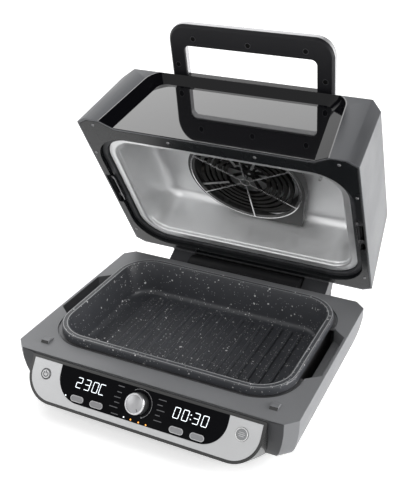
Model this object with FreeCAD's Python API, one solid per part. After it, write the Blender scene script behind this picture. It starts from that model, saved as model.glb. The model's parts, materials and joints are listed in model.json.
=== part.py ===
import FreeCAD, Part

import math
import os

V = FreeCAD.Vector

# Every length is in mm and every angle in degrees. X runs to the right and Y to the back,
# with Y = 0 on the front edge of the deck while the parts are made, and Z = 0 on the table.

# Deck and base
WIDTH = 440.0
DECK_DEPTH = 336.0
CORNER = 15.8
DECK_TOP = 86.0
DECK_THICKNESS = 3.0
BASE_WALL = 2.6
FOOT_HEIGHT = 8.0
FOOT_HALF = 11.0
FOOT_DRAFT = 1.5
FOOT_INSET_X = 66.0
FOOT_INSET_Y = 58.0
FOOT_INSET_REAR = 80.0
REAR_TUCK = 1.7
HULL = [(0.0, 0.0), (18.0, 0.0), (34.0, 2.1), (46.0, 4.6), (56.0, 7.2), (66.0, 12.0), (73.0, 20.0)]
HULL_FLOOR_INSET = 33.0
FLOOR_THICKNESS = 2.4
FIT = 0.3
BLUNT_CUTS = 4
ROD_SIDES = 4
CAP_SIDES = 24

# Cooking pan and the well under it
PAN_SIDE = 31.0
PAN_FRONT = 40.0
PAN_BACK = 28.0
PAN_CORNER = 58.0
PAN_RIM_ABOVE = 11.0
PAN_RIM_BAND = 8.0
PAN_SKIRT = 12.0
PAN_SKIRT_WALL = 2.0
PAN_DEPTH = 59.0
PAN_WALL = 3.0
PAN_RIM_ROUND = 1.4
PAN_DRAFT = 13.0
PAN_FOOT_ROUND = 9.0
RIDGE_PITCH = 17.0
RIDGE_COUNT = 17
RIDGE_HEIGHT = 3.0
RIDGE_WIDTH = 6.0
RIDGE_MARGIN = 30.0
WELL_GAP = 6.5
COLLAR_DEPTH = 12.0
COLLAR_WALL = 2.2
WELL_SHEET = 1.0
WELL_CLEAR = 2.5
WELL_FLOOR = 66.0
POCKET_REACH = 27.0
POCKET_LENGTH = 106.0
POCKET_RAMP = 17.0
POCKET_DEPTH = 22.0

# Lower heating element
ROD_RADIUS = 3.3
LOWER_ROD_DROP = 57.0
LOWER_LOOP_SIDE = 51.0
LOWER_LOOP_MARGIN = 46.0
LOWER_TERMINAL_GAP = 34.0
LOWER_TERMINAL_REACH = 12.0
SADDLE_X = 70.0
SADDLE_SHEET = 4.0
SADDLE_LENGTH = 14.0
SADDLE_WINDOW = 6.8

# Lid rests on the deck
REST_SIDE = 39.0
REST_Y = 30.0
REST_WIDTH = 12.0
REST_LENGTH = 17.0

# Lid
OPEN_ANGLE = 59.0
HINGE_BEHIND_DECK = 16.0
HINGE_BELOW_DECK = 29.0
RIM_GAP = 4.0
LID_HEIGHT = 147.0
LID_SIDE_TAPER = 9.0
LID_CORNER_ACROSS = 15.8
LID_CORNER_BACK = 10.0
LID_SLOPE_DROP = 18.0
LID_SLOPE_SIDE = 26.0
LID_FRONT_LEAN = 38.0
LID_REAR_LEAN = 34.0
LID_WALL = 3.0
LID_EDGE_BEVEL = 3.0
LID_SHORT = 2.0
RECESS_DEPTH = 11.4
RECESS_SIDE = 40.5
RECESS_NARROWS = 18.0
RECESS_RUN = 20.0
RECESS_OVER_TOP = 4.2
RECESS_CORNER = 36.0
RECESS_BELOW = 20.0
PANEL_SHEET = 2.0
PANEL_EDGE = 1.5

# Rim plate, gasket and liner, as heights above the plane of the lid's rim
RIM_PLATE = 2.5
RIM_SIDE = 12.5
RIM_MOUTH_FRONT = 38.0
RIM_REAR = 13.3
RIM_MOUTH_CORNER = 60.0
RIM_WALL = 2.2
LEDGE_HEIGHT = 13.0
LEDGE_INNER = 18.0
FLANGE_INSET = 10.0
FLANGE_SHEET = 1.2
FLANGE_WIDTH = 10.5
GASKET_HEIGHT = 6.0
NOTCH_START = 100.0
NOTCH_LENGTH = 74.0
NOTCH_REACH = 8.6
CLIP_LENGTH = 62.0
MOTOR_ROOM = 55.0
LINER_DRAFT = 12.0
LINER_SHOULDER = 13.0
LINER_SHOULDER_IN = 16.0

# Fan, shroud, guard and upper heating element
FAN_BACK = 3.65
SHROUD_RADIUS = 101.0
SHROUD_MOUTH = 90.0
SHROUD_DROP = 26.0
SHROUD_SKIRT = 14.0
SHROUD_SHEET = 1.4
SHROUD_CORNER_X = 84.0
SHROUD_POST_RADIUS = 4.0
GUARD_WIRE = 1.05
GUARD_HUB = 8.0
GUARD_ARMS = 6
SENSOR_BESIDE = 26.0
SENSOR_FORWARD = 30.0
SENSOR_RADIUS = 2.2
SENSOR_LENGTH = 20.0
SPIRAL_RADIUS = 78.0
SPIRAL_PITCH = 10.0
SPIRAL_HALF_TURNS = 9
SPIRAL_ROD = 3.0
COIL_STRIP = 1.2
LEAD_RISE = 6.6
LEAD_BEND = 8.0
FAN_RADIUS = 60.0
FAN_BLADES = 9
FAN_HEIGHT = 7.0
FAN_ABOVE_LEAD = 1.0
SHAFT_RADIUS = 2.5
RUNNING = 0.05
MOTOR_RADIUS = 30.0
MOTOR_HEIGHT = 26.0
MOTOR_CORNER = 8.0
MOTOR_CAP = 7.0
MOTOR_CAP_IN = 5.0
MOTOR_LIFT = 8.0
COOLING_FAN_RADIUS = 36.0
COOLING_FAN_HEIGHT = 7.0
BRACKET_SHEET = 1.6
BRACKET_FOOT = 12.0
BRACKET_BEYOND_MOTOR = 12.0
BRACKET_WIDTH = 36.0
BRACKET_SLOPE = 6.0

# Handle, as a flat loop that stands out from the top of the lid's front
HANDLE_TILT = 18.5
HANDLE_ROOT_Y = 45.3
HANDLE_STAND = 8.7
GRIP_HALF = 130.4
GRIP_REACH = 77.5
GRIP_BAR = 30.2
GRIP_LEG = 22.2
GRIP_THICKNESS = 5.0
GRIP_CHAMFER = 4.0
GRIP_CORNER = 26.0
GRIP_INNER_CORNER = 9.0
GRIP_TAIL = 24.0
BAND_THICKNESS = 10.0
BAND_BEVEL = 2.5
CROSSBAR_FRONT = 3.5
CROSSBAR_HEIGHT = 10.5

# Hinge
HINGE_HALF = 101.0
ARM_GAP = 2.0
ARM_WIDTH = 43.0
ARM_RADIUS = 14.5
ARM_PAD = 42.0
BARREL_RADIUS = 12.5
PIN_RADIUS = 4.0
PIN_SEAT = 40.0
PIN_HOLD = 0.02
PIN_HEAD_RADIUS = 7.0
PIN_HEAD = 2.0
WEB_ROOT = 22.0
WEB_BELOW = 26.0
WEB_ABOVE = 18.0
COVER_RADIUS = 35.0
COVER_WALL = 3.0
COVER_LOW = 20.0
SKIRT_GAP = 1.6
SKIRT_WALL = 2.4
SKIRT_SWEEP = 68.0

# Control panel: sizes along X and down the slope from the deck's front edge
PANEL_TILT = 33.3
HOUSING_SIDE = 37.6
HOUSING_TOP = 3.4
HOUSING_BOTTOM = 68.6
HOUSING_CORNER = 42.6
HOUSING_WALL = 2.4
HOUSING_BACK_Y = 21.0
HOUSING_UNDER_SLOPE = 17.0
BEZEL_EDGE = 4.1
BEZEL_SHEET = 3.2
BEZEL_LEDGE = 5.0
GLASS_SIDE = 51.2
GLASS_BOTTOM = 55.6
GLASS_CORNER = 36.4
GLASS_SHEET = 2.0
DISPLAY_HALF_WIDTH = 30.0
DISPLAY_HALF_HEIGHT = 11.0
DISPLAY_DOWN = 25.6
DISPLAY_SIDE = 52.8
BOARD_BEHIND = 12.4
BOARD_SHEET = 1.6
BOARD_SIDE = 19.4
BOARD_TOP = 14.0
BOARD_BOTTOM = 52.0
STUD_SIDE = 41.0
KNOB_DOWN = 28.6
KNOB_RADIUS = 15.0
KNOB_HEIGHT = 16.4
KNOB_GAP = 0.6
KNOB_WALL = 3.0
ENCODER_HALF = 6.0
ENCODER_HEIGHT = 6.5
ENCODER_SHAFT = 3.0
PRESS_TRAVEL = 1.0
ROUND_BUTTON_DOWN = 27.3
POWER_SIDE = 28.1
POWER_RADIUS = 8.0
START_SIDE = 30.0
START_RADIUS = 9.0
PILL_SIDE = 36.0
PILL_SIDE_RIGHT = 37.9
PILL_PITCH = 31.6
PILL_PITCH_RIGHT = 31.2
PILL_DOWN = 48.4
PILL_LENGTH = 21.0
PILL_HEIGHT = 9.0
BUTTON_PROUD = 0.8
BUTTON_STEM = 2.0
SWITCH_HALF = 3.0
SWITCH_HEIGHT = 2.0

# Power board, standing between the well and the front, and the bush for the mains lead
POWER_BOARD_SIDE = 80.0
POWER_BOARD_LENGTH = 98.0
RELAY = (8.0, 28.0, 11.0, 14.0, 36.0)
TRANSFORMER = (40.0, 64.0, 12.0, 12.0, 36.0)
CAPACITOR = (80.0, 24.0, 11.5, 5.0)
POWER_BOARD_Y = 25.0
POWER_BOARD_LOW = 16.0
POWER_BOARD_HEIGHT = 40.0
POWER_POST = 8.0
GLAND_SIDE = 54.0
GLAND_Z = 44.0
GLAND_RADIUS = 8.0
GLAND_BORE = 3.6
GLAND_PROUD = 5.0

# Grille in the rear of the lid
VENT_HALF = 62.0
VENT_LOW = 58.0
VENT_HIGH = 112.0
VENT_SLATS = 6

# Vent slots in the bottom cover
SLOT_COUNT = 9
SLOT_PITCH = 26.0
SLOT_WIDTH = 5.0
SLOT_LENGTH = 44.0
SLOT_GAP = 26.0

# Values that follow from the ones above
HALF = WIDTH / 2
PAN_HALF = HALF - PAN_SIDE
PAN_REAR = DECK_DEPTH - PAN_BACK
PAN_MIDDLE = (PAN_FRONT + PAN_REAR) / 2
POCKET_FRONT = PAN_MIDDLE - POCKET_LENGTH / 2
POCKET_REAR = PAN_MIDDLE + POCKET_LENGTH / 2
LOWER_LOOP_HALF = PAN_HALF - LOWER_LOOP_SIDE
REST_X = HALF - REST_SIDE
LID_DEPTH = DECK_DEPTH - LID_SHORT
RECESS_HALF = HALF - RECESS_SIDE
RIM_MOUTH_HALF = HALF - RIM_SIDE
RIM_MOUTH_REAR = LID_DEPTH - RIM_REAR
NOTCH_FRONT = RIM_MOUTH_FRONT + NOTCH_START
NOTCH_REAR = NOTCH_FRONT + NOTCH_LENGTH
LINER_CEILING = LID_HEIGHT - MOTOR_ROOM
SHROUD_FACE = LINER_CEILING - SHROUD_DROP
FAN_Y = (RIM_MOUTH_FRONT + RIM_MOUTH_REAR) / 2 + FAN_BACK
HANDLE_ROOT_HEIGHT = LID_HEIGHT + HANDLE_STAND
HOUSING_HALF = HALF - HOUSING_SIDE
GLASS_HALF = HOUSING_HALF - GLASS_SIDE
DISPLAY_X = GLASS_HALF - DISPLAY_SIDE
BOARD_HALF = HOUSING_HALF - BOARD_SIDE
STUD_X = BOARD_HALF - STUD_SIDE
POWER_X = POWER_SIDE - HOUSING_HALF
START_X = HOUSING_HALF - START_SIDE
PILL_LEFT = PILL_SIDE - GLASS_HALF
PILL_RIGHT = GLASS_HALF - PILL_SIDE_RIGHT
PILL_XS = (PILL_LEFT, PILL_LEFT + PILL_PITCH, PILL_RIGHT - PILL_PITCH_RIGHT, PILL_RIGHT)
POWER_BOARD_X0 = POWER_BOARD_SIDE - HALF
POWER_BOARD_X1 = POWER_BOARD_X0 + POWER_BOARD_LENGTH
GLAND_X = GLAND_SIDE - HALF
HINGE_Y = DECK_DEPTH + HINGE_BEHIND_DECK
HINGE_Z = DECK_TOP - HINGE_BELOW_DECK
RIM_Z = DECK_TOP + RIM_GAP
HULL_DROP = DECK_TOP - FOOT_HEIGHT
REST_HEIGHT = RIM_GAP - FIT
SHELL_RECESS = RECESS_DEPTH + PANEL_SHEET
RECESS_PITCH = RECESS_RUN / RECESS_DEPTH
PANEL_SIN = math.sin(math.radians(PANEL_TILT))
PANEL_COS = math.cos(math.radians(PANEL_TILT))
SPIRAL_HEIGHT = SHROUD_FACE + SHROUD_SHEET + COIL_STRIP + FIT + SPIRAL_ROD
FAN_LOW = SPIRAL_HEIGHT + LEAD_RISE + SPIRAL_ROD + FAN_ABOVE_LEAD
MOTOR_LOW = LINER_CEILING + FLANGE_SHEET + MOTOR_LIFT
MOTOR_TOP = MOTOR_LOW + MOTOR_HEIGHT
COOLING_LOW = MOTOR_TOP + 3.0


def polygon_face(points):
    """A flat face with straight sides through the points."""
    return Part.Face(Part.makePolygon(points + [points[0]]))


def prism(points, direction):
    """A straight bar with the outline of the points."""
    return polygon_face(points).extrude(direction)


def box(x0, x1, y0, y1, z0, z1):
    """A block between two corners."""
    return Part.makeBox(x1 - x0, y1 - y0, z1 - z0, V(x0, y0, z0))


def rod(radius, start, end):
    """A round bar from one point to another."""
    along = end - start
    return Part.makeCylinder(radius, along.Length, start, along)


def disc(radius, x, y, z0, z1):
    """An upright round bar between two heights."""
    return rod(radius, V(x, y, z0), V(x, y, z1))


def regular(sides, radius, centre, along):
    """A regular outline whose flats lie a radius from a point, square to a direction."""
    side = along.cross(V(0, 0, 1))
    if side.Length < 0.1 * along.Length:
        side = V(0, 1, 0)
    reach = radius / math.cos(math.pi / sides)
    side = side.normalize() * reach
    up = along.cross(side).normalize() * reach
    angles = [2 * math.pi * (i + 0.5) / sides for i in range(sides)]
    points = [centre + side * math.cos(a) + up * math.sin(a) for a in angles]
    return Part.makePolygon(points + [points[0]])


def bar(sides, radius, start, end):
    """A bar with a regular outline from one point to another."""
    return Part.Face(regular(sides, radius, start, end - start)).extrude(end - start)


def octagon(half, y0, y1, across, back, z):
    """A rectangle with its four corners cut off, as points."""
    return [
        V(-half, y0 + back, z), V(-half + across, y0, z),
        V(half - across, y0, z), V(half, y0 + back, z),
        V(half, y1 - back, z), V(half - across, y1, z),
        V(-half + across, y1, z), V(-half, y1 - back, z),
    ]


def rounded_wire(x0, x1, y0, y1, radius, z, front_radius=None):
    """A rectangle with round corners; the corners at y0 can have their own radius."""
    low = radius if front_radius is None else front_radius
    corners = [
        (V(x0, y0, z), V(0, 1, 0), V(1, 0, 0), low),
        (V(x1, y0, z), V(-1, 0, 0), V(0, 1, 0), low),
        (V(x1, y1, z), V(0, -1, 0), V(-1, 0, 0), radius),
        (V(x0, y1, z), V(1, 0, 0), V(0, -1, 0), radius),
    ]
    share = 1 - math.sqrt(0.5)
    edges = []
    last = None
    for point, before, after, r in corners:
        if r <= 0:
            if last is not None:
                edges.append(Part.LineSegment(last, point).toShape())
            last = point
            continue
        start = point + before * r
        end = point + after * r
        middle = point + (before + after) * (r * share)
        if last is not None:
            edges.append(Part.LineSegment(last, start).toShape())
        edges.append(Part.Arc(start, middle, end).toShape())
        last = end
    edges.append(Part.LineSegment(last, corners[0][0] + corners[0][1] * low).toShape())
    return Part.Wire(edges)


def rounded_slab(x0, x1, y0, y1, radius, z0, z1, front_radius=None):
    """A plate with round corners between two heights."""
    face = Part.Face(rounded_wire(x0, x1, y0, y1, radius, z0, front_radius))
    return face.extrude(V(0, 0, z1 - z0))


def blunt_wire(x0, x1, y0, y1, radius, z):
    """The outline of rounded_wire with straight cuts that touch its corners, for hidden sides."""
    reach = radius / math.cos(math.pi / 4 / BLUNT_CUTS)
    points = []
    for corner, (x, y) in enumerate(((x0, y0), (x1, y0), (x1, y1), (x0, y1))):
        centre = V(x + radius * (1 if x == x0 else -1), y + radius * (1 if y == y0 else -1), z)
        for i in range(BLUNT_CUTS):
            angle = math.pi * (1.0 + corner / 2.0 + (i + 0.5) / 2.0 / BLUNT_CUTS)
            points.append(centre + V(math.cos(angle), math.sin(angle), 0) * reach)
    return Part.makePolygon(points + [points[0]])


def upright(solid):
    """The solid with its faces turned outwards."""
    if solid.Volume < 0:
        solid.reverse()
    return solid


def is_flat(face):
    """Whether a face has straight edges whose ends lie in one plane."""
    for edge in face.Edges:
        ends = [v.Point for v in edge.Vertexes]
        if len(ends) < 2 or edge.Length - ends[0].distanceToPoint(ends[1]) > 1e-6:
            return False
    points = [v.Point for v in face.Vertexes]
    normal = (points[1] - points[0]).cross(points[2] - points[0])
    if normal.Length < 1e-9:
        return False
    normal = normal.normalize()
    return all(abs((p - points[0]).dot(normal)) < 1e-6 for p in points)


def flattened(solid):
    """The solid with its flat ruled faces made again as planes."""
    faces = []
    for face in solid.Faces:
        if is_flat(face):
            plain = polygon_face([v.Point for v in face.OuterWire.OrderedVertexes])
            spot = face.CenterOfMass
            before = face.normalAt(*face.Surface.parameter(spot))
            if before.dot(plain.normalAt(*plain.Surface.parameter(spot))) < 0:
                plain.reverse()
            face = plain
        faces.append(face)
    shell = Part.makeShell(faces)
    shell.sewShape()
    return upright(Part.makeSolid(shell))


def ruled(wires):
    """A solid with ruled sides through closed outlines."""
    return flattened(Part.makeLoft(wires, True, True))


def frustum(lower, upper):
    """A solid with flat sides between two outlines of as many points."""
    return ruled([Part.makePolygon(points + [points[0]]) for points in (lower, upper)])


def fused(shapes):
    """One solid out of several that meet or overlap."""
    whole = shapes[0]
    for shape in shapes[1:]:
        whole = whole.fuse(shape)
    return whole.removeSplitter()


def cut(shape, tools):
    """A shape with the tools taken away."""
    for tool in tools:
        shape = shape.cut(tool)
    return shape


def mirrored(shape):
    """The same piece on the other side of the middle plane."""
    return shape.mirror(V(0, 0, 0), V(1, 0, 0))


def both(shape):
    """The piece and its mirror image."""
    return [shape, mirrored(shape)]


def tube(edges, radius, start, along):
    """A sheathed rod along joined edges, as one unbroken solid."""
    shell = Part.BRepOffsetAPI.MakePipeShell(Part.Wire(edges))
    shell.add(regular(ROD_SIDES, radius, start, along))
    shell.build()
    shell.makeSolid()
    return upright(shell.shape())


def bent_path(points, radius):
    """Straight runs through the points, with every corner rounded to the radius."""
    edges = []
    last = points[0]
    for before, corner, after in zip(points, points[1:], points[2:]):
        back = (before - corner).normalize()
        on = (after - corner).normalize()
        half = back.getAngle(on) / 2
        reach = radius / math.tan(half)
        start = corner + back * reach
        end = corner + on * reach
        centre = corner + (back + on).normalize() * (radius / math.sin(half))
        middle = centre + (corner - centre).normalize() * radius
        edges.append(Part.LineSegment(last, start).toShape())
        edges.append(Part.Arc(start, middle, end).toShape())
        last = end
    edges.append(Part.LineSegment(last, points[-1]).toShape())
    return edges


# Base


def hull(inset, low, high):
    """The outer form of the base, made smaller by an inset, between two depths under the deck."""
    wires = []
    for drop, tuck in HULL + [(HULL_DROP, HULL_FLOOR_INSET)]:
        depth = drop
        if drop == 0.0:
            depth = -high
        if drop == HULL_DROP:
            depth = low
        rear = tuck * REAR_TUCK + inset
        points = octagon(HALF - tuck - inset, tuck + inset, DECK_DEPTH - rear, CORNER,
                         CORNER, DECK_TOP - depth)
        wires.append(Part.makePolygon(points + [points[0]]))
    return ruled(wires)


def pan_wire(inset, z):
    """The pan's outline, made smaller by an inset."""
    return rounded_wire(-PAN_HALF + inset, PAN_HALF - inset, PAN_FRONT + inset, PAN_REAR - inset,
                        PAN_CORNER - inset, z)


def pan_slab(inset, z0, z1):
    """A plate with the pan's outline, made smaller by an inset."""
    return Part.Face(pan_wire(inset, z0)).extrude(V(0, 0, z1 - z0))


def blunt_pan_wire(inset, z):
    """The pan's outline for a hidden side."""
    return blunt_wire(-PAN_HALF + inset, PAN_HALF - inset, PAN_FRONT + inset, PAN_REAR - inset,
                      PAN_CORNER - inset, z)


def blunt_pan_slab(inset, z0, z1):
    """A plate with the pan's outline for a hidden side."""
    return Part.Face(blunt_pan_wire(inset, z0)).extrude(V(0, 0, z1 - z0))


def pocket(grow, z0, z1):
    """The space of the right finger pocket beside the pan."""
    inner = PAN_HALF - WELL_CLEAR
    outer = PAN_HALF + POCKET_REACH + grow
    ramp = POCKET_RAMP + grow * 0.4
    return prism([
        V(inner, POCKET_FRONT - ramp, z0), V(PAN_HALF + WELL_GAP, POCKET_FRONT - ramp, z0),
        V(outer, POCKET_FRONT - grow, z0), V(outer, POCKET_REAR + grow, z0),
        V(PAN_HALF + WELL_GAP, POCKET_REAR + ramp, z0), V(inner, POCKET_REAR + ramp, z0),
    ], V(0, 0, z1 - z0))


def base_shell():
    """Deck, sides and front in one moulding, with the pan opening and the finger pockets."""
    low = DECK_TOP - COLLAR_DEPTH
    shelf = DECK_TOP - 1.0 - FIT - WELL_SHEET
    body = hull(0.0, HULL_DROP, 0.0)
    inside = hull(BASE_WALL, HULL_DROP + 1.0, -DECK_THICKNESS)
    body = body.cut(inside)
    collar = blunt_pan_slab(-WELL_GAP - COLLAR_WALL, low, DECK_TOP - DECK_THICKNESS / 2)
    tubs = both(pocket(COLLAR_WALL, DECK_TOP - POCKET_DEPTH - COLLAR_WALL,
                       DECK_TOP - DECK_THICKNESS / 2))
    body = fused([body, collar] + tubs)
    body = body.cut(pan_slab(-WELL_GAP, shelf, DECK_TOP + 1.0))
    body = body.cut(blunt_pan_slab(WELL_CLEAR, 0.0, DECK_TOP))
    body = body.cut(blunt_pan_slab(-WELL_GAP, low - 1.0 - POCKET_DEPTH, shelf - 2.4))
    body = cut(body, both(pocket(0.0, DECK_TOP - POCKET_DEPTH, DECK_TOP + 1.0)))
    body = body.cut(housing_block(FIT))
    gland = bar(6, GLAND_RADIUS + FIT, V(GLAND_X, DECK_DEPTH - 40.0, GLAND_Z),
                V(GLAND_X, DECK_DEPTH + 20.0, GLAND_Z))
    return fused([body.cut(gland)] + board_posts())


def bottom_cover():
    """Floor plate with rows of vent slots; its edge follows the inside of the base."""
    inside = hull(BASE_WALL + 2 * FIT, HULL_DROP + 1.0, 0.0)
    plate = inside.common(box(-HALF, HALF, 0.0, DECK_DEPTH, FOOT_HEIGHT,
                              FOOT_HEIGHT + FLOOR_THICKNESS))
    slots = []
    for y in (PAN_MIDDLE - SLOT_GAP / 2 - SLOT_LENGTH, PAN_MIDDLE + SLOT_GAP / 2):
        for i in range(SLOT_COUNT):
            x = (i - (SLOT_COUNT - 1) / 2) * SLOT_PITCH
            slots.append(box(x - SLOT_WIDTH / 2, x + SLOT_WIDTH / 2, y, y + SLOT_LENGTH, 0.0,
                             DECK_TOP))
    return cut(plate, slots)


def board_posts():
    """Two slotted posts inside the front of the base that hold the power board."""
    posts = []
    y = POWER_BOARD_Y
    for x in (POWER_BOARD_X0 + POWER_POST, POWER_BOARD_X1 - 2 * POWER_POST):
        post = box(x, x + POWER_POST, y - 3.0, y + BOARD_SHEET + 3.0,
                   FOOT_HEIGHT + FLOOR_THICKNESS + FIT, POWER_BOARD_LOW + 6.0)
        groove = box(x, x + POWER_POST, y - FIT / 2, y + BOARD_SHEET + FIT / 2, POWER_BOARD_LOW,
                     DECK_TOP)
        posts.append(post.cut(groove).common(hull(BASE_WALL / 2, HULL_DROP, 0.0)))
    return posts


def rubber_feet():
    """Four rubber pads that get narrower towards the table."""
    feet = []
    for x in (-HALF + FOOT_INSET_X, HALF - FOOT_INSET_X):
        for y in (FOOT_INSET_Y, DECK_DEPTH - FOOT_INSET_REAR):
            outlines = []
            for half, z in ((FOOT_HALF - FOOT_DRAFT, 0.0), (FOOT_HALF, FOOT_HEIGHT)):
                outlines.append([V(x - half, y - half, z), V(x + half, y - half, z),
                                 V(x + half, y + half, z), V(x - half, y + half, z)])
            feet.append(frustum(*outlines))
    return feet


def pan_well():
    """Sheet-metal tub under the pan; its flange lies on the deck's ledge."""
    top = DECK_TOP - 1.0 - FIT
    low = DECK_TOP - WELL_FLOOR
    flange = pan_slab(-WELL_GAP + WELL_CLEAR, top - WELL_SHEET, top)
    outer = blunt_pan_slab(WELL_CLEAR + FIT, low - WELL_SHEET, top)
    inner = pan_slab(WELL_CLEAR + FIT + WELL_SHEET, low, top + 1.0)
    keep = PAN_HALF - WELL_CLEAR - FIT
    clear = box(keep, HALF, POCKET_FRONT - POCKET_RAMP, POCKET_REAR + POCKET_RAMP,
                top - 2.0, top + 1.0)
    tub = cut(fused([flange, outer]), [inner] + both(clear))
    z = DECK_TOP - LOWER_ROD_DROP
    for y in lower_terminals():
        tub = tub.cut(bar(6, ROD_RADIUS + 1.6, V(100.0, y, z), V(HALF, y, z)))
    return tub


def lower_terminals():
    """The two places along Y where the lower element leaves the well."""
    middle = PAN_MIDDLE
    return middle - LOWER_TERMINAL_GAP / 2, middle + LOWER_TERMINAL_GAP / 2


def lower_element():
    """Bent heating rod under the pan, with both ends through the well's right wall."""
    z = DECK_TOP - LOWER_ROD_DROP
    near, far = lower_terminals()
    end = PAN_HALF - WELL_CLEAR + LOWER_TERMINAL_REACH
    front = PAN_FRONT + LOWER_LOOP_MARGIN
    rear = PAN_REAR - LOWER_LOOP_MARGIN
    half = LOWER_LOOP_HALF
    points = [
        V(end, near, z), V(half, near, z), V(half, front, z), V(-half, front, z),
        V(-half, rear, z), V(half, rear, z), V(half, far, z), V(end, far, z),
    ]
    path = bent_path(points, ROD_RADIUS * 3.0)
    return tube(path, ROD_RADIUS, points[0], points[1] - points[0])


def element_brackets():
    """Saddles that carry the lower element above the floor of the well."""
    z = DECK_TOP - LOWER_ROD_DROP
    low = DECK_TOP - WELL_FLOOR
    front = PAN_FRONT + LOWER_LOOP_MARGIN
    rear = PAN_REAR - LOWER_LOOP_MARGIN
    saddles = []
    half = SADDLE_LENGTH / 2
    open_half = SADDLE_WINDOW / 2
    for side in (-1, 1):
        x0 = side * SADDLE_X - SADDLE_SHEET / 2
        x1 = x0 + SADDLE_SHEET
        for y in (front, rear):
            block = box(x0, x1, y - half, y + half, low, z + ROD_RADIUS + 2.2)
            bore = bar(ROD_SIDES, ROD_RADIUS + FIT, V(x0 - 1.0, y, z), V(x1 + 1.0, y, z))
            window = box(x0 - 1.0, x1 + 1.0, y - open_half, y + open_half, low + 1.2,
                         z - ROD_RADIUS - 1.2)
            saddles.append(cut(block, [bore, window]))
    return saddles


def element_bushes():
    """Insulating bushes where the lower element goes through the well."""
    z = DECK_TOP - LOWER_ROD_DROP
    wall = PAN_HALF - WELL_CLEAR - FIT
    bushes = []
    for y in lower_terminals():
        body = bar(6, ROD_RADIUS + 4.0, V(wall, y, z), V(wall + 6.0, y, z))
        bushes.append(body.cut(bar(ROD_SIDES, ROD_RADIUS + FIT, V(wall - 1.0, y, z),
                                   V(wall + 7.0, y, z))))
    return bushes


def thermal_cutout():
    """Round thermal switch with two blades, clipped under the floor of the well."""
    x, y = 0.0, PAN_MIDDLE
    top = DECK_TOP - WELL_FLOOR - WELL_SHEET
    body = bar(12, 8.0, V(x, y, top - 5.5), V(x, y, top))
    ears = box(x - 13.0, x + 13.0, y - 4.0, y + 4.0, top - 1.0, top)
    return fused([body, ears])


def lid_rests():
    """Two small ramps on the deck that stop the closing lid."""
    y0 = REST_Y - REST_LENGTH / 2
    y1 = REST_Y + REST_LENGTH / 2
    x0 = REST_X - REST_WIDTH / 2
    ramp = prism([
        V(x0, y0, DECK_TOP), V(x0, y0 + 2.5, DECK_TOP + REST_HEIGHT),
        V(x0, y1 - 6.0, DECK_TOP + REST_HEIGHT), V(x0, y1, DECK_TOP),
    ], V(REST_WIDTH, 0, 0))
    return both(ramp)


def power_board():
    """Mains board with relay, transformer and capacitor."""
    low = POWER_BOARD_LOW
    y = POWER_BOARD_Y
    left = POWER_BOARD_X0
    board = box(left, POWER_BOARD_X1, y, y + BOARD_SHEET, low, low + POWER_BOARD_HEIGHT)
    blocks = [box(left + x0, left + x1, y + BOARD_SHEET, y + deep, low + z0, low + z1)
              for x0, x1, deep, z0, z1 in (RELAY, TRANSFORMER)]
    x, z, deep, radius = CAPACITOR
    can = bar(6, radius, V(left + x, y + BOARD_SHEET, low + z), V(left + x, y + deep, low + z))
    return fused([board] + blocks + [can])


def cord_gland():
    """Six-sided bush in the rear wall where the mains lead would enter."""
    wall = DECK_DEPTH - 10.0
    outer = DECK_DEPTH - 2.0 + GLAND_PROUD
    sleeve = bar(6, GLAND_RADIUS, V(GLAND_X, wall - 8.0, GLAND_Z), V(GLAND_X, outer, GLAND_Z))
    collar = bar(6, GLAND_RADIUS + 2.5, V(GLAND_X, outer - 2.0, GLAND_Z),
                     V(GLAND_X, outer, GLAND_Z))
    bore = rod(GLAND_BORE, V(GLAND_X, wall - 9.0, GLAND_Z), V(GLAND_X, outer + 1.0, GLAND_Z))
    return fused([sleeve, collar]).cut(bore)


# Cooking pan


def cooking_pan():
    """Cast pan with a tall rolled rim, drafted walls, a round foot and grill ridges."""
    top = DECK_TOP + PAN_RIM_ABOVE
    foot = top - PAN_DEPTH
    wall = PAN_RIM_BAND
    heights = [(top, wall), (foot + PAN_FOOT_ROUND, wall + PAN_DRAFT - 3.0),
               (foot, wall + PAN_DRAFT + 4.0)]
    outer = ruled([blunt_pan_wire(inset, z) for z, inset in heights])
    lift = [(top + 1.0, wall + PAN_WALL - 0.3)]
    lift += [(z + PAN_WALL, inset + PAN_WALL * 0.9) for z, inset in heights[1:]]
    inner = ruled([pan_wire(inset, z) for z, inset in lift])
    rim = pan_slab(0.0, top - PAN_SKIRT, top)
    hollow = blunt_pan_slab(PAN_SKIRT_WALL, top - PAN_SKIRT - 1.0, top - 2.5)
    rim = rim.makeChamfer(PAN_RIM_ROUND, [e for e in rim.Edges if e.BoundBox.ZMin > top - 0.01])
    pan = fused([rim.cut(hollow), outer]).cut(inner)
    floor = foot + PAN_WALL
    y0 = PAN_FRONT + PAN_DRAFT + RIDGE_MARGIN - 4.0
    y1 = PAN_REAR - PAN_DRAFT - RIDGE_MARGIN + 6.0
    ridges = []
    for i in range(RIDGE_COUNT):
        x = (i - (RIDGE_COUNT - 1) / 2) * RIDGE_PITCH
        low = [V(x - RIDGE_WIDTH / 2, y0, floor - 0.5), V(x + RIDGE_WIDTH / 2, y0, floor - 0.5),
               V(x + RIDGE_WIDTH / 2, y1, floor - 0.5), V(x - RIDGE_WIDTH / 2, y1, floor - 0.5)]
        crown = RIDGE_WIDTH / 2 - 1.1
        high = [V(x - crown, y0 + 3.0, floor + RIDGE_HEIGHT), V(x + crown, y0 + 3.0, floor + RIDGE_HEIGHT),
                V(x + crown, y1 - 3.0, floor + RIDGE_HEIGHT), V(x - crown, y1 - 3.0, floor + RIDGE_HEIGHT)]
        ridges.append(frustum(low, high))
    return pan.multiFuse(ridges).removeSplitter()


# Control panel, made flat and then tilted: x across, y up the slope, z outwards


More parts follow.
